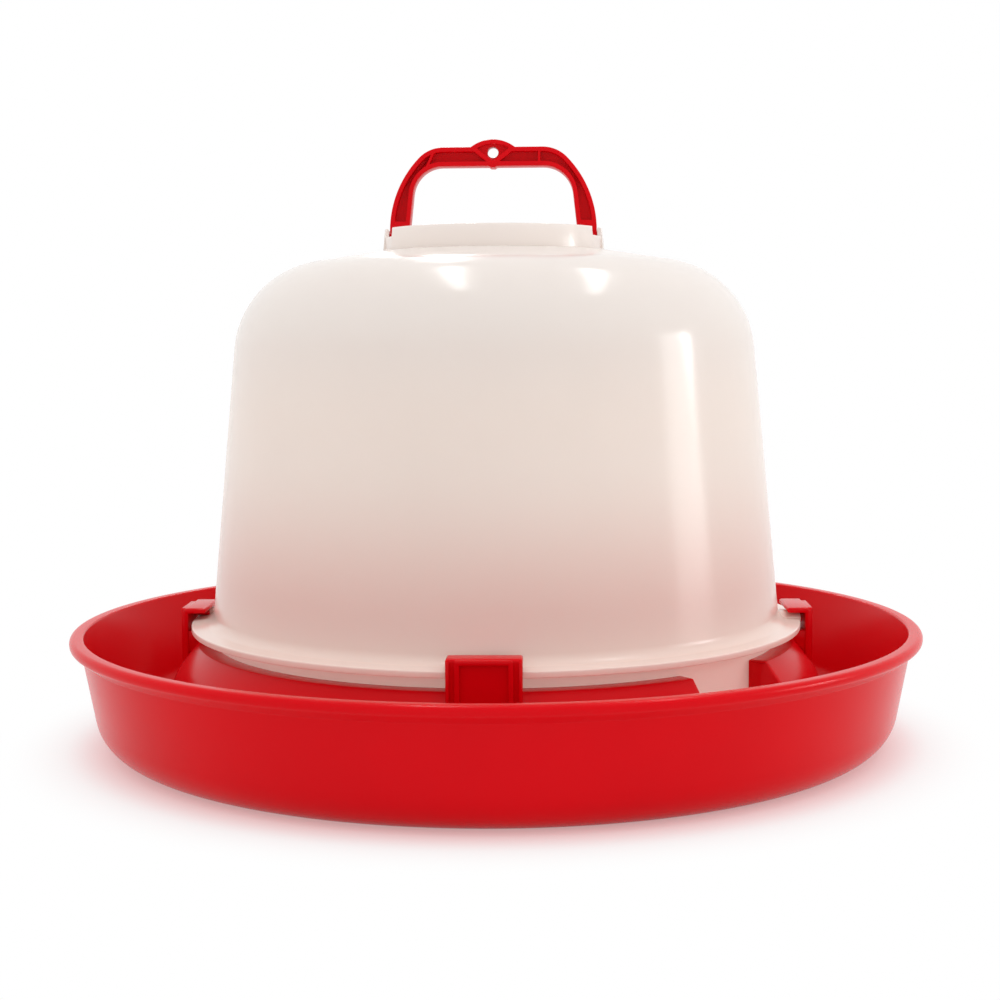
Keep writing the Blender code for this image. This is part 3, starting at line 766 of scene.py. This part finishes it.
def milky_colour(recipe, size, height, cloud, flow):
    """Cloudy and streaked off-white, with painted light: a cooler, paler crown and, in its foot, a
    painted pink of the tray's red light.
    """
    dark, light = (shade_of(size.colour, share) for share in MILK_CLOUD_TINTS)
    colour = recipe.mix(cloud, dark, light)
    streak = recipe.levels(flow, *MILK_FLOW_FADE, 0.0, MILK_FLOW_SHARE)
    colour = recipe.mix(streak, colour, shade_of(size.colour, MILK_FLOW_TINT))
    # Painted light: the cooler, paler crown
    colour = recipe.mix(recipe.levels(height, *PAINTED_CROWN_BAND), colour, tinted(size.colour, PAINTED_CROWN_TINT))
    # Painted light: pink in the foot for the tray's red light, fading higher up
    rise = recipe.levels(height, *PAINTED_PINK_RISE, PAINTED_PINK_START, 1.0)
    fall = recipe.levels(height, *PAINTED_PINK_FALL, 1.0, 0.0)
    share = rise * fall * ((1.0 - PAINTED_PINK_CLOUDS) + cloud * PAINTED_PINK_CLOUDS)
    return recipe.mix(share, colour, tinted(size.colour, PAINTED_PINK_TINT))


def milky_plastic(size):
    """Milky translucent moulding: light enters the wall, clouds and flow marks show, and the skirt
    has a painted glow of its own.
    """
    recipe = Recipe(bpy.data.materials.new("milky_wall"))
    spot = recipe.place()
    height = recipe.node("ShaderNodeSeparateXYZ", inputs={0: spot}, output="Z")
    cloud = recipe.levels(recipe.noise(spot, *MILK_CLOUD), *MILK_CLOUD_FADE)
    flow = recipe.noise(recipe.place(MILK_FLOW_STRETCH), *MILK_FLOW)
    normal = recipe.bump(recipe.noise(spot, *MILK_GRAIN), MILK_GRAIN_DEPTH)
    # Painted glow: the skirt emits light under the flange, fading out above it
    skirt = recipe.levels(height, *PAINTED_SKIRT_GLOW_BAND, 1.0, 0.0)
    recipe.feed(recipe.tree.nodes["Principled BSDF"], {
        "Base Color": milky_colour(recipe, size, height, cloud, flow),
        "Emission Color": recipe.mix(skirt, BLACK, PAINTED_SKIRT_GLOW),
        "Emission Strength": PAINTED_SKIRT_GLOW_POWER,
        "Roughness": size.roughness + cloud * MILK_CLOUD_MATT,
        "Normal": recipe.bump(flow, MILK_FLOW_DEPTH, normal),
        "IOR": MILK_IOR,
        "Specular IOR Level": MILK_GLOSS,
        "Subsurface Weight": size.milkiness,
        "Subsurface Radius": (MILK_REACH, MILK_REACH, MILK_REACH),
        "Subsurface Scale": 1.0,
    })
    recipe.owner.diffuse_color = shade_of(size.colour)
    return recipe.owner


# Tray

def wall_radius(size, height):
    """Outer radius of the pan's leaning wall at a height."""
    lip_low = size.rim_height - LIP_DEPTH
    return size.rim_radius - LIP_REACH - (lip_low - height) * tan(PAN_TAPER)


def trough_radius(size, height):
    """Inner radius of that wall."""
    return wall_radius(size, height) - PAN_WALL / cos(PAN_TAPER)


def ring_line(size):
    """The ring's wet side: up its bore, over its flat top and down into the trough."""
    return [
        (0.0, FLOOR_TOP),
        (RING_BORE, FLOOR_TOP),
        (RING_BORE, RING_TOP, RING_EDGE, 1),
        (RING_BORE + RING_LAND, RING_TOP, RING_EDGE, 1),
        (RING_BORE + RING_KNEE, RING_KNEE_HEIGHT, RING_ROUND, 3),
        (RING_BORE + RING_FOOT, FLOOR_TOP, RING_FILLET, 2),
        (trough_radius(size, FLOOR_TOP), FLOOR_TOP, PAN_ROUND - PAN_WALL, 4),
    ]


def pan_line(size):
    """The pan's outside, from the top of its inner wall over the lip and down to the foot."""
    top = size.rim_height
    lip_low = top - LIP_DEPTH
    return [
        (trough_radius(size, top), top, LIP_ROUND / 2, 2),
        (size.rim_radius, top, LIP_ROUND, 3),
        (size.rim_radius, top - LIP_FACE, LIP_ROUND, 2),
        (wall_radius(size, lip_low), lip_low, LIP_CREASE, 1),
        (wall_radius(size, 0.0), 0.0, PAN_ROUND, 5),
    ]


def tray_lines(size):
    """The tray's section with the ring, without the hollow under it, and without the ring."""
    ring = ring_line(size)
    half_turn = (pi / 2 - PAN_TAPER) / 2
    foot = wall_radius(size, 0.0) - PAN_ROUND * tan(half_turn) - FOOT_WIDTH
    under = FLOOR_TOP - PAN_WALL
    skin = rounded(ring + pan_line(size) + [(foot, 0.0)])
    inner = len(rounded(ring)) - 1
    side = skin[1:inner]
    outside = skin[inner:] + [(foot - FOOT_STEP, under)]
    dry = rounded(offset(ring, PAN_WALL))[-2:0:-1]
    wet_flat = [(r, FLOOR_TOP) for r, z in side]
    dry_flat = [(r, under) for r, z in dry]
    start = [(0.0, FLOOR_TOP)]
    end = [(0.0, under)]
    full = start + side + outside + dry + end
    walled = start + side + outside + dry_flat + end
    flat = start + wet_flat + outside + dry_flat + end
    return full, walled, flat


def slope_height(size, radius, depth):
    """Height of the ring's sloping side under a radius, sunk by a depth into its shell."""
    line = rounded(offset(ring_line(size), depth))[2:]
    for a, b in zip(line, line[1:]):
        if a[0] <= radius <= b[0]:
            share = (radius - a[0]) / max(b[0] - a[0], MERGE)
            return a[1] + share * (b[1] - a[1])
    return FLOOR_TOP


def make_pan(size):
    """The pan with its ring, spun span by span, with end walls at the water gaps."""
    full, walled, flat = tray_lines(size)
    end_wall = PAN_WALL / (RING_BORE + RING_LAND)
    parts = []
    for middle in even_turns(GAP_COUNT, bearing_angle(GAP_BEARING)):
        low, high = middle - GAP_HALF, middle + GAP_HALF
        for line, start, sweep in (
            (walled, low - end_wall, end_wall),
            (flat, low, 2 * GAP_HALF),
            (walled, high, end_wall),
            (full, high + end_wall, 2 * pi / GAP_COUNT - 2 * (GAP_HALF + end_wall)),
        ):
            steps = ceil(TURN_STEPS * sweep / (2 * pi))
            parts.append(spun("pan", line, start, sweep, steps))
    pan = joined(parts)
    bpy.ops.object.mode_set(mode="EDIT")
    merge_points()
    bpy.ops.mesh.select_all(action="DESELECT")
    bpy.ops.mesh.select_non_manifold(extend=False)
    bpy.ops.mesh.fill_holes(sides=0)
    settle()
    soften(pan, GAP_EDGE, STEEP)
    return pan


def hook_outline(size, root):
    """Section of the lug's outer wall and of the hook plate that reaches in over the flange."""
    inner_face = LUG_FACE - LUG_WALL
    return [
        (HOOK_INNER, HOOK_UNDER + HOOK_NOSE),
        (HOOK_INNER + HOOK_NOSE, HOOK_UNDER),
        (inner_face, HOOK_UNDER),
        (inner_face, slope_height(size, inner_face, root)),
        (LUG_FACE, slope_height(size, LUG_FACE, root)),
        (LUG_FACE, LUG_TOP),
        (HOOK_INNER, LUG_TOP),
    ]


def ledge_outline(size, root, outer):
    """Section of the ledge under the flange, which stands on the ring's sloping side."""
    inner = RING_BORE + LUG_ROOT
    top = FLANGE_UNDER - LEDGE_DROP
    feet = [(r, slope_height(size, r, root)) for r in (outer, (outer + inner) / 2)]
    return [(inner, slope_height(size, inner, root)), (inner, top), (outer, top)] + feet


def frame_outline(foot):
    """The frame on the lug's back: two uprights and a bar across their tops."""
    edge = FRAME_WIDTH / 2
    bay = edge - FRAME_BAR
    peak = LUG_TOP - FRAME_DROP
    return rounded([
        (-edge, foot),
        (-edge, peak, FRAME_BAR / 2, 2),
        (edge, peak, FRAME_BAR / 2, 2),
        (edge, foot),
        (bay, foot),
        (bay, peak - FRAME_BAR, HAIR, 1),
        (-bay, peak - FRAME_BAR, HAIR, 1),
        (-bay, foot),
    ])


def make_lug(size):
    """One lug on the +X side: hook, ledge, stop, framed back and edge beads."""
    half = size.lug_width / 2
    root = PAN_WALL / 2
    middle = LUG_FACE - LUG_WALL / 2
    lug = plate("lug", hook_outline(size, root), section(0.0), BACK, -half, half)
    top = LUG_TOP - CLEAR
    end = half - CLEAR
    round_chosen(
        lug,
        lambda edge: all(v.co.z > top and abs(v.co.y) > end for v in edge.verts),
        CORNER_ROUND, CORNER_STEPS,
    )
    soften(lug, HAIR)
    wide = half - LEDGE_INSET
    ledge = ledge_outline(size, root, middle)
    combine(lug, plate("ledge", ledge, section(0.0), BACK, -wide, wide, HAIR), "UNION")
    low = FLANGE_TOP + 2 * CLEAR
    stop = oblong(HOOK_INNER + STOP_INSET, middle, low, low + STOP_HEIGHT)
    wide = STOP_WIDTH / 2
    combine(lug, plate("stop", stop, section(0.0), BACK, -wide, wide, HAIR), "UNION")
    proud = LUG_FACE + FRAME_PROUD
    foot = slope_height(size, proud, 0.0) - HAIR
    back = plate("frame", frame_outline(foot), sideways, RIGHT, middle, proud, HAIR)
    combine(lug, back, "UNION")
    for left in (-end, end - BEAD_WIDTH):
        bead = oblong(left, left + BEAD_WIDTH, foot, LUG_TOP - CORNER_ROUND)
        bead = plate("bead", bead, sideways, RIGHT, middle, LUG_FACE + BEAD_PROUD, HAIR)
        combine(lug, bead, "UNION")
    return lug


# Reservoir

def bell_radius(height):
    """Outer radius of the bell's leaning side at a height."""
    return BELL_FOOT_RADIUS - (height - FLANGE_TOP) * tan(BELL_TAPER)


def bell_line(size):
    """The bell's outside from the flare over the shoulder to the collar's foot."""
    flare = FLANGE_TOP + FLANGE_RISE
    lean = tan(BELL_TAPER)
    slope = tan(CROWN_SLOPE)
    crown = size.crown_height
    level = crown - (BELL_FOOT_RADIUS + FLANGE_TOP * lean - COLLAR_FOOT_RADIUS) * slope
    corner = level / (1 - lean * slope)
    return [
        (bell_radius(flare), flare, FLARE_ROUND, 3),
        (bell_radius(corner), corner, SHOULDER_ROUND, 8),
        (COLLAR_FOOT_RADIUS, crown),
    ]


def reservoir_line(size):
    """Section of the reservoir from axis to axis: the inside from its floor, then the outside."""
    wall = RESERVOIR_WALL
    seat = FLOOR_TOP + CLEAR
    top = size.crown_height + COLLAR_RISE
    floor = size.crown_height - COLLAR_SINK
    bell = bell_line(size)
    outside = [
        (SKIRT_RADIUS, seat),
        (SKIRT_RADIUS, FLANGE_UNDER),
        (FLANGE_RADIUS, FLANGE_UNDER, FLANGE_ROUND, 1),
        (FLANGE_RADIUS, FLANGE_TOP, FLANGE_ROUND, 2),
        *bell,
        (COLLAR_TOP_RADIUS, top, COLLAR_EDGE, 1),
        (COLLAR_BORE, top, COLLAR_EDGE, 1),
        (COLLAR_BORE, floor, COLLAR_EDGE, 1),
        (0.0, floor),
    ]
    inner_bell = offset(bell, -wall)
    inside = [
        (0.0, floor - wall),
        (COLLAR_BORE, floor - wall),
        inner_bell[2],
        inner_bell[1],
        (bell_radius(FLANGE_TOP + FLARE_ROUND) - wall, FLANGE_TOP + FLARE_ROUND),
        (SKIRT_RADIUS - wall, FLANGE_UNDER),
        (SKIRT_RADIUS - wall, seat),
    ]
    return rounded(inside) + rounded(outside)


def cut_round(bell, tool, angles):
    """Cuts a form out of the bell at angles round Z."""
    combine(bell, joined(turned_copies(tool, angles)), "DIFFERENCE")


def add_tabs(bell):
    """Ramped tabs on the flange, which end against the stops of the lugs."""
    near = -STOP_WIDTH / 2 - CLEAR
    far = near - TAB_LENGTH
    root = FLANGE_TOP - FLANGE_EDGE / 4
    outline = [
        (near, root), (near, TAB_TOP), (far + TAB_RAMP, TAB_TOP),
        (far, FLANGE_TOP + FLANGE_RISE), (far, root),
    ]
    inner = bell_radius(TAB_TOP) - RESERVOIR_WALL / 4
    tab = plate("tab", outline, sideways, RIGHT, inner, FLANGE_RADIUS - TAB_INSET, HAIR)
    combine(bell, joined(turned_copies(tab, even_turns(LUG_COUNT))), "UNION")


def cut_outlets(bell):
    """Arched outlets through the skirt, one behind each water gap."""
    half = OUTLET_WIDTH / 2
    spring = OUTLET_TOP - OUTLET_ARCH
    outline = [(-half, 0.0), (half, 0.0)]
    for across, up in arc((0.0, 0.0), 1.0, 0.0, pi, ARCH_STEPS):
        outline.append((half * across, spring + OUTLET_ARCH * up))
    low, high = SKIRT_RADIUS - 2 * RESERVOIR_WALL, SKIRT_RADIUS + 2 * RESERVOIR_WALL
    outlet = plate("outlet", outline, sideways, RIGHT, low, high)
    cut_round(bell, outlet, even_turns(GAP_COUNT, bearing_angle(GAP_BEARING)))


def cut_collar(bell, size):
    """The collar's four notches, the shallow panels under them and the two pin holes."""
    top = size.crown_height + COLLAR_RISE
    low, high = COLLAR_BORE - 2 * COLLAR_WALL, COLLAR_TOP_RADIUS + 2 * COLLAR_WALL
    bearings = (NOTCH_BEARING, pi - NOTCH_BEARING, pi + NOTCH_BEARING, -NOTCH_BEARING)
    angles = [bearing_angle(bearing) for bearing in bearings]
    wide = COLLAR_TOP_RADIUS * sin(NOTCH_HALF)
    notch = rounded([
        (-wide, top + NOTCH_DEPTH), (-wide, top - NOTCH_DEPTH, COLLAR_EDGE * 2, 1),
        (wide, top - NOTCH_DEPTH, COLLAR_EDGE * 2, 1), (wide, top + NOTCH_DEPTH),
    ])
    cut_round(bell, plate("notch", notch, sideways, RIGHT, low, high), angles)
    wide += COLLAR_EDGE / 2
    panel = oblong(-wide, wide, size.crown_height + COLLAR_EDGE, top + CLEAR)
    panel = plate("panel", panel, sideways, RIGHT, COLLAR_TOP_RADIUS - PANEL_DEPTH, high)
    cut_round(bell, panel, angles)
    hole = circle((0.0, top - PIVOT_DROP), PIN_RADIUS + CLEAR)
    cut_round(bell, plate("hole", hole, sideways, RIGHT, low, high), (0.0, pi))


def make_reservoir(size):
    """The bell with its flange, tabs, collar, notches, pin holes and water outlets."""
    bell = spun("bell", reservoir_line(size), 0.0, 2 * pi, TURN_STEPS)
    add_tabs(bell)
    cut_outlets(bell)
    cut_collar(bell, size)
    return bell


# Handle

def handle_sizes(size, crown):
    """Heights and reaches of the handle that follow from the collar and the handle's sizes."""
    pivot = crown + COLLAR_RISE - PIVOT_DROP
    half = size.depth / 2
    return {
        "pivot": pivot,
        "half": half,
        "reach": sqrt((COLLAR_BORE - HANDLE_CLEAR) ** 2 - half ** 2),
        "bottom": pivot - half,
        "top": pivot + HANDLE_RISE,
        "spring": pivot + SPRING_RISE,
        "bar": pivot + CROSS_BAR_RISE,
        "under": pivot + HANDLE_RISE - size.grip,
    }


def outer_line(at, inset, low):
    """Right half of the handle's outer outline, from the flat top down to a height."""
    rise = at["top"] - at["spring"]
    small = HANDLE_SHOULDER
    across = sqrt((at["reach"] - small) ** 2 - (rise - small) ** 2)
    meet = atan2(rise - small, across)
    points = arc((across, at["spring"] + rise - small), small - inset, pi / 2, meet, 4 * FINE)
    end = asin(max((low - at["spring"]) / (at["reach"] - inset), 0.0))
    points += arc((0.0, at["spring"]), at["reach"] - inset, meet, end, 5 * FINE)[1:]
    if low < at["spring"]:
        points.append((at["reach"] - inset, low))
    return points


def inner_line(at, inset, low):
    """Right half of the handle's inner outline, from a height up to the grip's underside."""
    leg = at["reach"] - LEG_WIDTH
    line = [
        (leg, at["bottom"]),
        (leg, at["spring"], LEG_ROUND, 2),
        (leg - LEG_LEAN, at["under"], FINGER_ROUND, 4),
        (NUB_HALF, at["under"]),
    ]
    return above(rounded(offset(line, inset)), low)


def eye_line(at, inset, half, steps):
    """Crown of the eye above the grip, from right to left, moved inwards by a distance."""
    radius = (EYE_HALF ** 2 + EYE_RISE ** 2) / (2 * EYE_RISE)
    spread = asin(half / (radius - inset))
    middle = (0.0, at["top"] + EYE_RISE - radius)
    return arc(middle, radius - inset, pi / 2 - spread, pi / 2 + spread, steps)


def eye_sides(at, grow, top):
    """The two slanting sides under the eye's crown as an open line, grown outwards."""
    low = at["under"] + EYE_LAND
    shoulder = eye_line(at, FLANGE_BAND, EYE_POCKET_HALF, 1)[0][1]
    half = EYE_POCKET_HALF * (top - low) / (shoulder - low)
    line = [(half, top), (0.0, low, EYE_RADIUS / 2, 2), (-half, top)]
    return rounded(offset(line, -grow))


def rib_outline(size, at, across, lean):
    """A thin rib through the pocket of the grip, at a place across it and leaning."""
    along = Vector((sin(lean), cos(lean))) * size.grip
    side = Vector((cos(lean), -sin(lean))) * RIB_THICK / 2
    centre = Vector((across, at["top"] - size.grip / 2))
    corners = (along + side, along - side, -along - side, -along + side)
    return [tuple(centre + corner) for corner in corners]


def sink_pockets(bail, size, at):
    """The pockets in the front and back, round two ribs and the web of the hanging eye."""
    pocket_line = mirrored(
        outer_line(at, FLANGE_BAND, at["bar"]) + inner_line(at, FLANGE_BAND, at["bar"])
    )
    crown_line = eye_line(at, FLANGE_BAND, EYE_POCKET_HALF, 6 * FINE)
    recess_line = eye_sides(at, 0.0, crown_line[0][1]) + crown_line[-2:0:-1]
    shield_line = eye_sides(at, FLANGE_BAND, at["top"] + EYE_RISE)
    rib_lines = [
        rib_outline(size, at, across, lean)
        for across, lean in ((RIB_RIGHT, 0.0), (RIB_LEFT, RIB_LEAN))
    ]
    for way in (-BACK, BACK):
        pocket = plate("pocket", pocket_line, frontal, way, size.web / 2, size.depth)
        for line in [shield_line] + rib_lines:
            kept = plate("kept", line, frontal, way, 0.0, 2 * size.depth)
            combine(pocket, kept, "DIFFERENCE")
        combine(bail, pocket, "DIFFERENCE")
        recess = plate("recess", recess_line, frontal, way, EYE_WEB / 2, size.depth)
        combine(bail, recess, "DIFFERENCE")


def make_handle(size, crown):
    """The bail: outline pushed to its depth, pockets sunk from both sides, eye and pins."""
    at = handle_sizes(size, crown)
    nub = [(NUB_HALF / 2, at["under"] - NUB_DROP)]
    right = outer_line(at, 0.0, at["bottom"]) + inner_line(at, 0.0, at["bottom"]) + nub
    outline = mirrored(right) + eye_line(at, 0.0, EYE_HALF, 8 * FINE)[::-1]
    bail = plate("bail", outline, frontal, BACK, -at["half"], at["half"])
    low = at["bottom"] + CLEAR
    round_chosen(
        bail,
        lambda edge: all(v.co.z < low for v in edge.verts)
        and abs(edge.verts[0].co.y - edge.verts[1].co.y) < CLEAR,
        FOOT_ROUND, 4 * FINE,
    )
    sink_pockets(bail, size, at)
    bore = circle((0.0, at["top"] - EYE_DROP), EYE_RADIUS)
    combine(bail, plate("bore", bore, frontal, BACK, -size.depth, size.depth), "DIFFERENCE")
    soften(bail, HAIR, STEEP)
    pin = circle((0.0, at["pivot"]), PIN_RADIUS)
    root = at["reach"] - LEG_WIDTH / 4
    tip = COLLAR_TOP_RADIUS - PIN_INSET
    for way in (-RIGHT, RIGHT):
        combine(bail, plate("pin", pin, sideways, way, root, tip, HAIR), "UNION")
    return bail


# Operators

class DRINKER_OT_tray(bpy.types.Operator):
    """Builds the round tray with its rolled lip, its ring and the two water gaps"""

    bl_idname = "drinker.tray"
    bl_label = "Tray"

    def execute(self, context):
        size = context.scene.drinker_tray
        red = red_plastic("red_tray", size)
        finished(make_pan(size), "tray_pan", "tray", "red_moulding", red, "tray")
        return {"FINISHED"}


class DRINKER_OT_lugs(bpy.types.Operator):
    """Builds one hooked lug and copies it round the ring"""

    bl_idname = "drinker.lugs"
    bl_label = "Lugs"

    def execute(self, context):
        size = context.scene.drinker_tray
        red = bpy.data.materials["red_tray"]
        lugs = turned_copies(make_lug(size), even_turns(LUG_COUNT))
        for number, lug in enumerate(lugs, start=1):
            finished(lug, f"lug_{number}", "tray", "red_moulding", red)
        return {"FINISHED"}


class DRINKER_OT_reservoir(bpy.types.Operator):
    """Builds the bell-shaped reservoir with its flange, tabs and collar"""

    bl_idname = "drinker.reservoir"
    bl_label = "Reservoir"

    def execute(self, context):
        size = context.scene.drinker_reservoir
        milk = milky_plastic(size)
        bell = make_reservoir(size)
        finished(bell, "reservoir_bell", "reservoir", "milky_moulding", milk, "reservoir")
        return {"FINISHED"}


class DRINKER_OT_handle(bpy.types.Operator):
    """Builds the folding handle with its pockets, ribs, hanging eye and pins"""

    bl_idname = "drinker.handle"
    bl_label = "Handle"

    def execute(self, context):
        size = context.scene.drinker_handle
        red = red_plastic("red_handle", size)
        bail = make_handle(size, context.scene.drinker_reservoir.crown_height)
        finished(bail, "handle_bail", "handle", "red_handle_moulding", red, "handle")
        return {"FINISHED"}


def soft_panel(name, place, span, power, turn=None):
    """A soft panel that the camera doesn't see; it faces the bell unless it has a turn."""
    place = Vector(place)
    bpy.ops.object.light_add(type="AREA", location=place)
    lamp = bpy.context.object
    lamp.name = lamp.data.name = name
    if turn:
        lamp.rotation_euler = [radians(angle) for angle in turn]
    else:
        lamp.rotation_euler = (place - BELL_MIDDLE).to_track_quat("Z", "Y").to_euler()
    lamp.data.shape = "RECTANGLE"
    lamp.data.size, lamp.data.size_y = span
    lamp.data.energy = power
    lamp.visible_camera = False
    return lamp


class DRINKER_OT_studio(bpy.types.Operator):
    """Builds the white studio: floor, even light, soft panels and the camera"""

    bl_idname = "drinker.studio"
    bl_label = "Studio"

    def execute(self, context):
        size = context.scene.drinker_studio
        self.floor(size)
        self.daylight(size)
        for row in (
            ("overhead", OVERHEAD_PLACE, OVERHEAD_SPAN, size.overhead),
            ("side_light", SIDE_PLACE, SIDE_SPAN, size.side),
        ):
            soft_panel(*row).visible_glossy = False
        for row in GLINTS:
            soft_panel(*row).visible_diffuse = False
        self.camera(size)
        context.scene.view_settings.view_transform = "Standard"
        return {"FINISHED"}

    def floor(self, size):
        """A matt round floor that looks white outside the drinker's own shadow, with a painted red
        glow of the tray's bounced light near the base.
        """
        bpy.ops.object.select_all(action="DESELECT")
        bpy.ops.mesh.primitive_circle_add(
            vertices=FLOOR_STEPS, radius=FLOOR_RADIUS, fill_type="NGON",
        )
        ground = bpy.context.object
        ground.name = "studio_floor"
        recipe = Recipe(bpy.data.materials.new("studio_floor"))
        nodes = recipe.tree.nodes
        nodes.remove(nodes["Principled BSDF"])
        spot = recipe.node("ShaderNodeTexCoord", output="Object")
        away = recipe.node("ShaderNodeVectorMath", {"operation": "LENGTH"}, {0: spot}, "Value")
        matt = recipe.node("ShaderNodeBsdfDiffuse", inputs={"Color": (*size.floor, 1.0)})
        # Painted reflection of the tray's red light: the floor's glow turns red near the base
        red_bounce = recipe.mix(recipe.levels(away, *PAINTED_RED_BOUNCE_FADE), PAINTED_RED_BOUNCE, WHITE)
        bright = recipe.node("ShaderNodeEmission", inputs={"Color": red_bounce, "Strength": 1.0})
        share = recipe.levels(away, *WHITE_FADE, size.lift) * recipe.backdrop_rays()
        mixed = recipe.node("ShaderNodeMixShader", inputs={0: share, 1: matt, 2: bright})
        recipe.feed(nodes["Material Output"], {"Surface": mixed})
        ground.data.materials.append(recipe.owner)

    def daylight(self, size):
        """Even light from all sides, a little weaker from the front, in front of plain white."""
        world = bpy.data.worlds.new("studio_air")
        bpy.context.scene.world = world
        recipe = Recipe(world)
        way = recipe.node("ShaderNodeTexCoord", output="Generated")
        depth = recipe.node("ShaderNodeSeparateXYZ", inputs={0: way}, output="Y")
        room = recipe.levels(depth, *AIR_FADE, size.front * size.daylight, size.daylight)
        light = room + recipe.backdrop_rays() * (1.0 - room)
        recipe.feed(recipe.tree.nodes["Background"], {"Color": WHITE, "Strength": light})

    def camera(self, size):
        """The camera in front of the bell's upper half, pitched a little down."""
        bpy.ops.object.camera_add()
        eye = bpy.context.object
        eye.name = eye.data.name = "studio_camera"
        turn = Matrix.Rotation(CAMERA_TURN, 4, "Z")
        pitch = Matrix.Rotation(pi / 2 + CAMERA_PITCH, 4, "X")
        roll = Matrix.Rotation(CAMERA_ROLL, 4, "Z")
        eye.matrix_world = Matrix.Translation(CAMERA_PLACE) @ turn @ pitch @ roll
        eye.data.sensor_width = SENSOR_WIDTH
        eye.data.lens = size.lens
        eye.data.clip_end = VIEW_END
        bpy.context.scene.camera = eye


class DRINKER_PT_panel(bpy.types.Panel):
    """Lists the drinker's sizes, colours and operators"""

    bl_idname = "DRINKER_PT_panel"
    bl_label = "Poultry drinker"
    bl_space_type = "VIEW_3D"
    bl_region_type = "UI"
    bl_category = "Drinker"

    def draw(self, context):
        scene = context.scene
        for group, names, operators in (
            (scene.drinker_tray, ("rim_radius", "rim_height", "lug_width", "colour", "roughness"),
             ("drinker.tray", "drinker.lugs")),
            (scene.drinker_reservoir, ("crown_height", "colour", "roughness", "milkiness"),
             ("drinker.reservoir",)),
            (scene.drinker_handle, ("depth", "web", "grip", "colour", "roughness"),
             ("drinker.handle",)),
            (scene.drinker_studio,
             ("floor", "lift", "daylight", "front", "overhead", "side", "lens"),
             ("drinker.studio",)),
        ):
            box = self.layout.box()
            for name in names:
                box.prop(group, name)
            for operator in operators:
                box.operator(operator)


GROUPS = {
    "drinker_tray": DrinkerTray,
    "drinker_reservoir": DrinkerReservoir,
    "drinker_handle": DrinkerHandle,
    "drinker_studio": DrinkerStudio,
}

CLASSES = (
    *GROUPS.values(),
    DRINKER_OT_tray,
    DRINKER_OT_lugs,
    DRINKER_OT_reservoir,
    DRINKER_OT_handle,
    DRINKER_OT_studio,
    DRINKER_PT_panel,
)


def register():
    """Registers the classes and hangs the groups of sizes on the scene."""
    for item in CLASSES:
        bpy.utils.register_class(item)
    for name, group in GROUPS.items():
        setattr(bpy.types.Scene, name, PointerProperty(type=group))


def unregister():
    """Undoes register."""
    for name in GROUPS:
        delattr(bpy.types.Scene, name)
    for item in reversed(CLASSES):
        bpy.utils.unregister_class(item)


def main():
    """Builds the drinker and its studio."""
    register()
    bpy.ops.drinker.tray()
    bpy.ops.drinker.lugs()
    bpy.ops.drinker.reservoir()
    bpy.ops.drinker.handle()
    bpy.ops.drinker.studio()


if __name__ == "__main__":
    main()
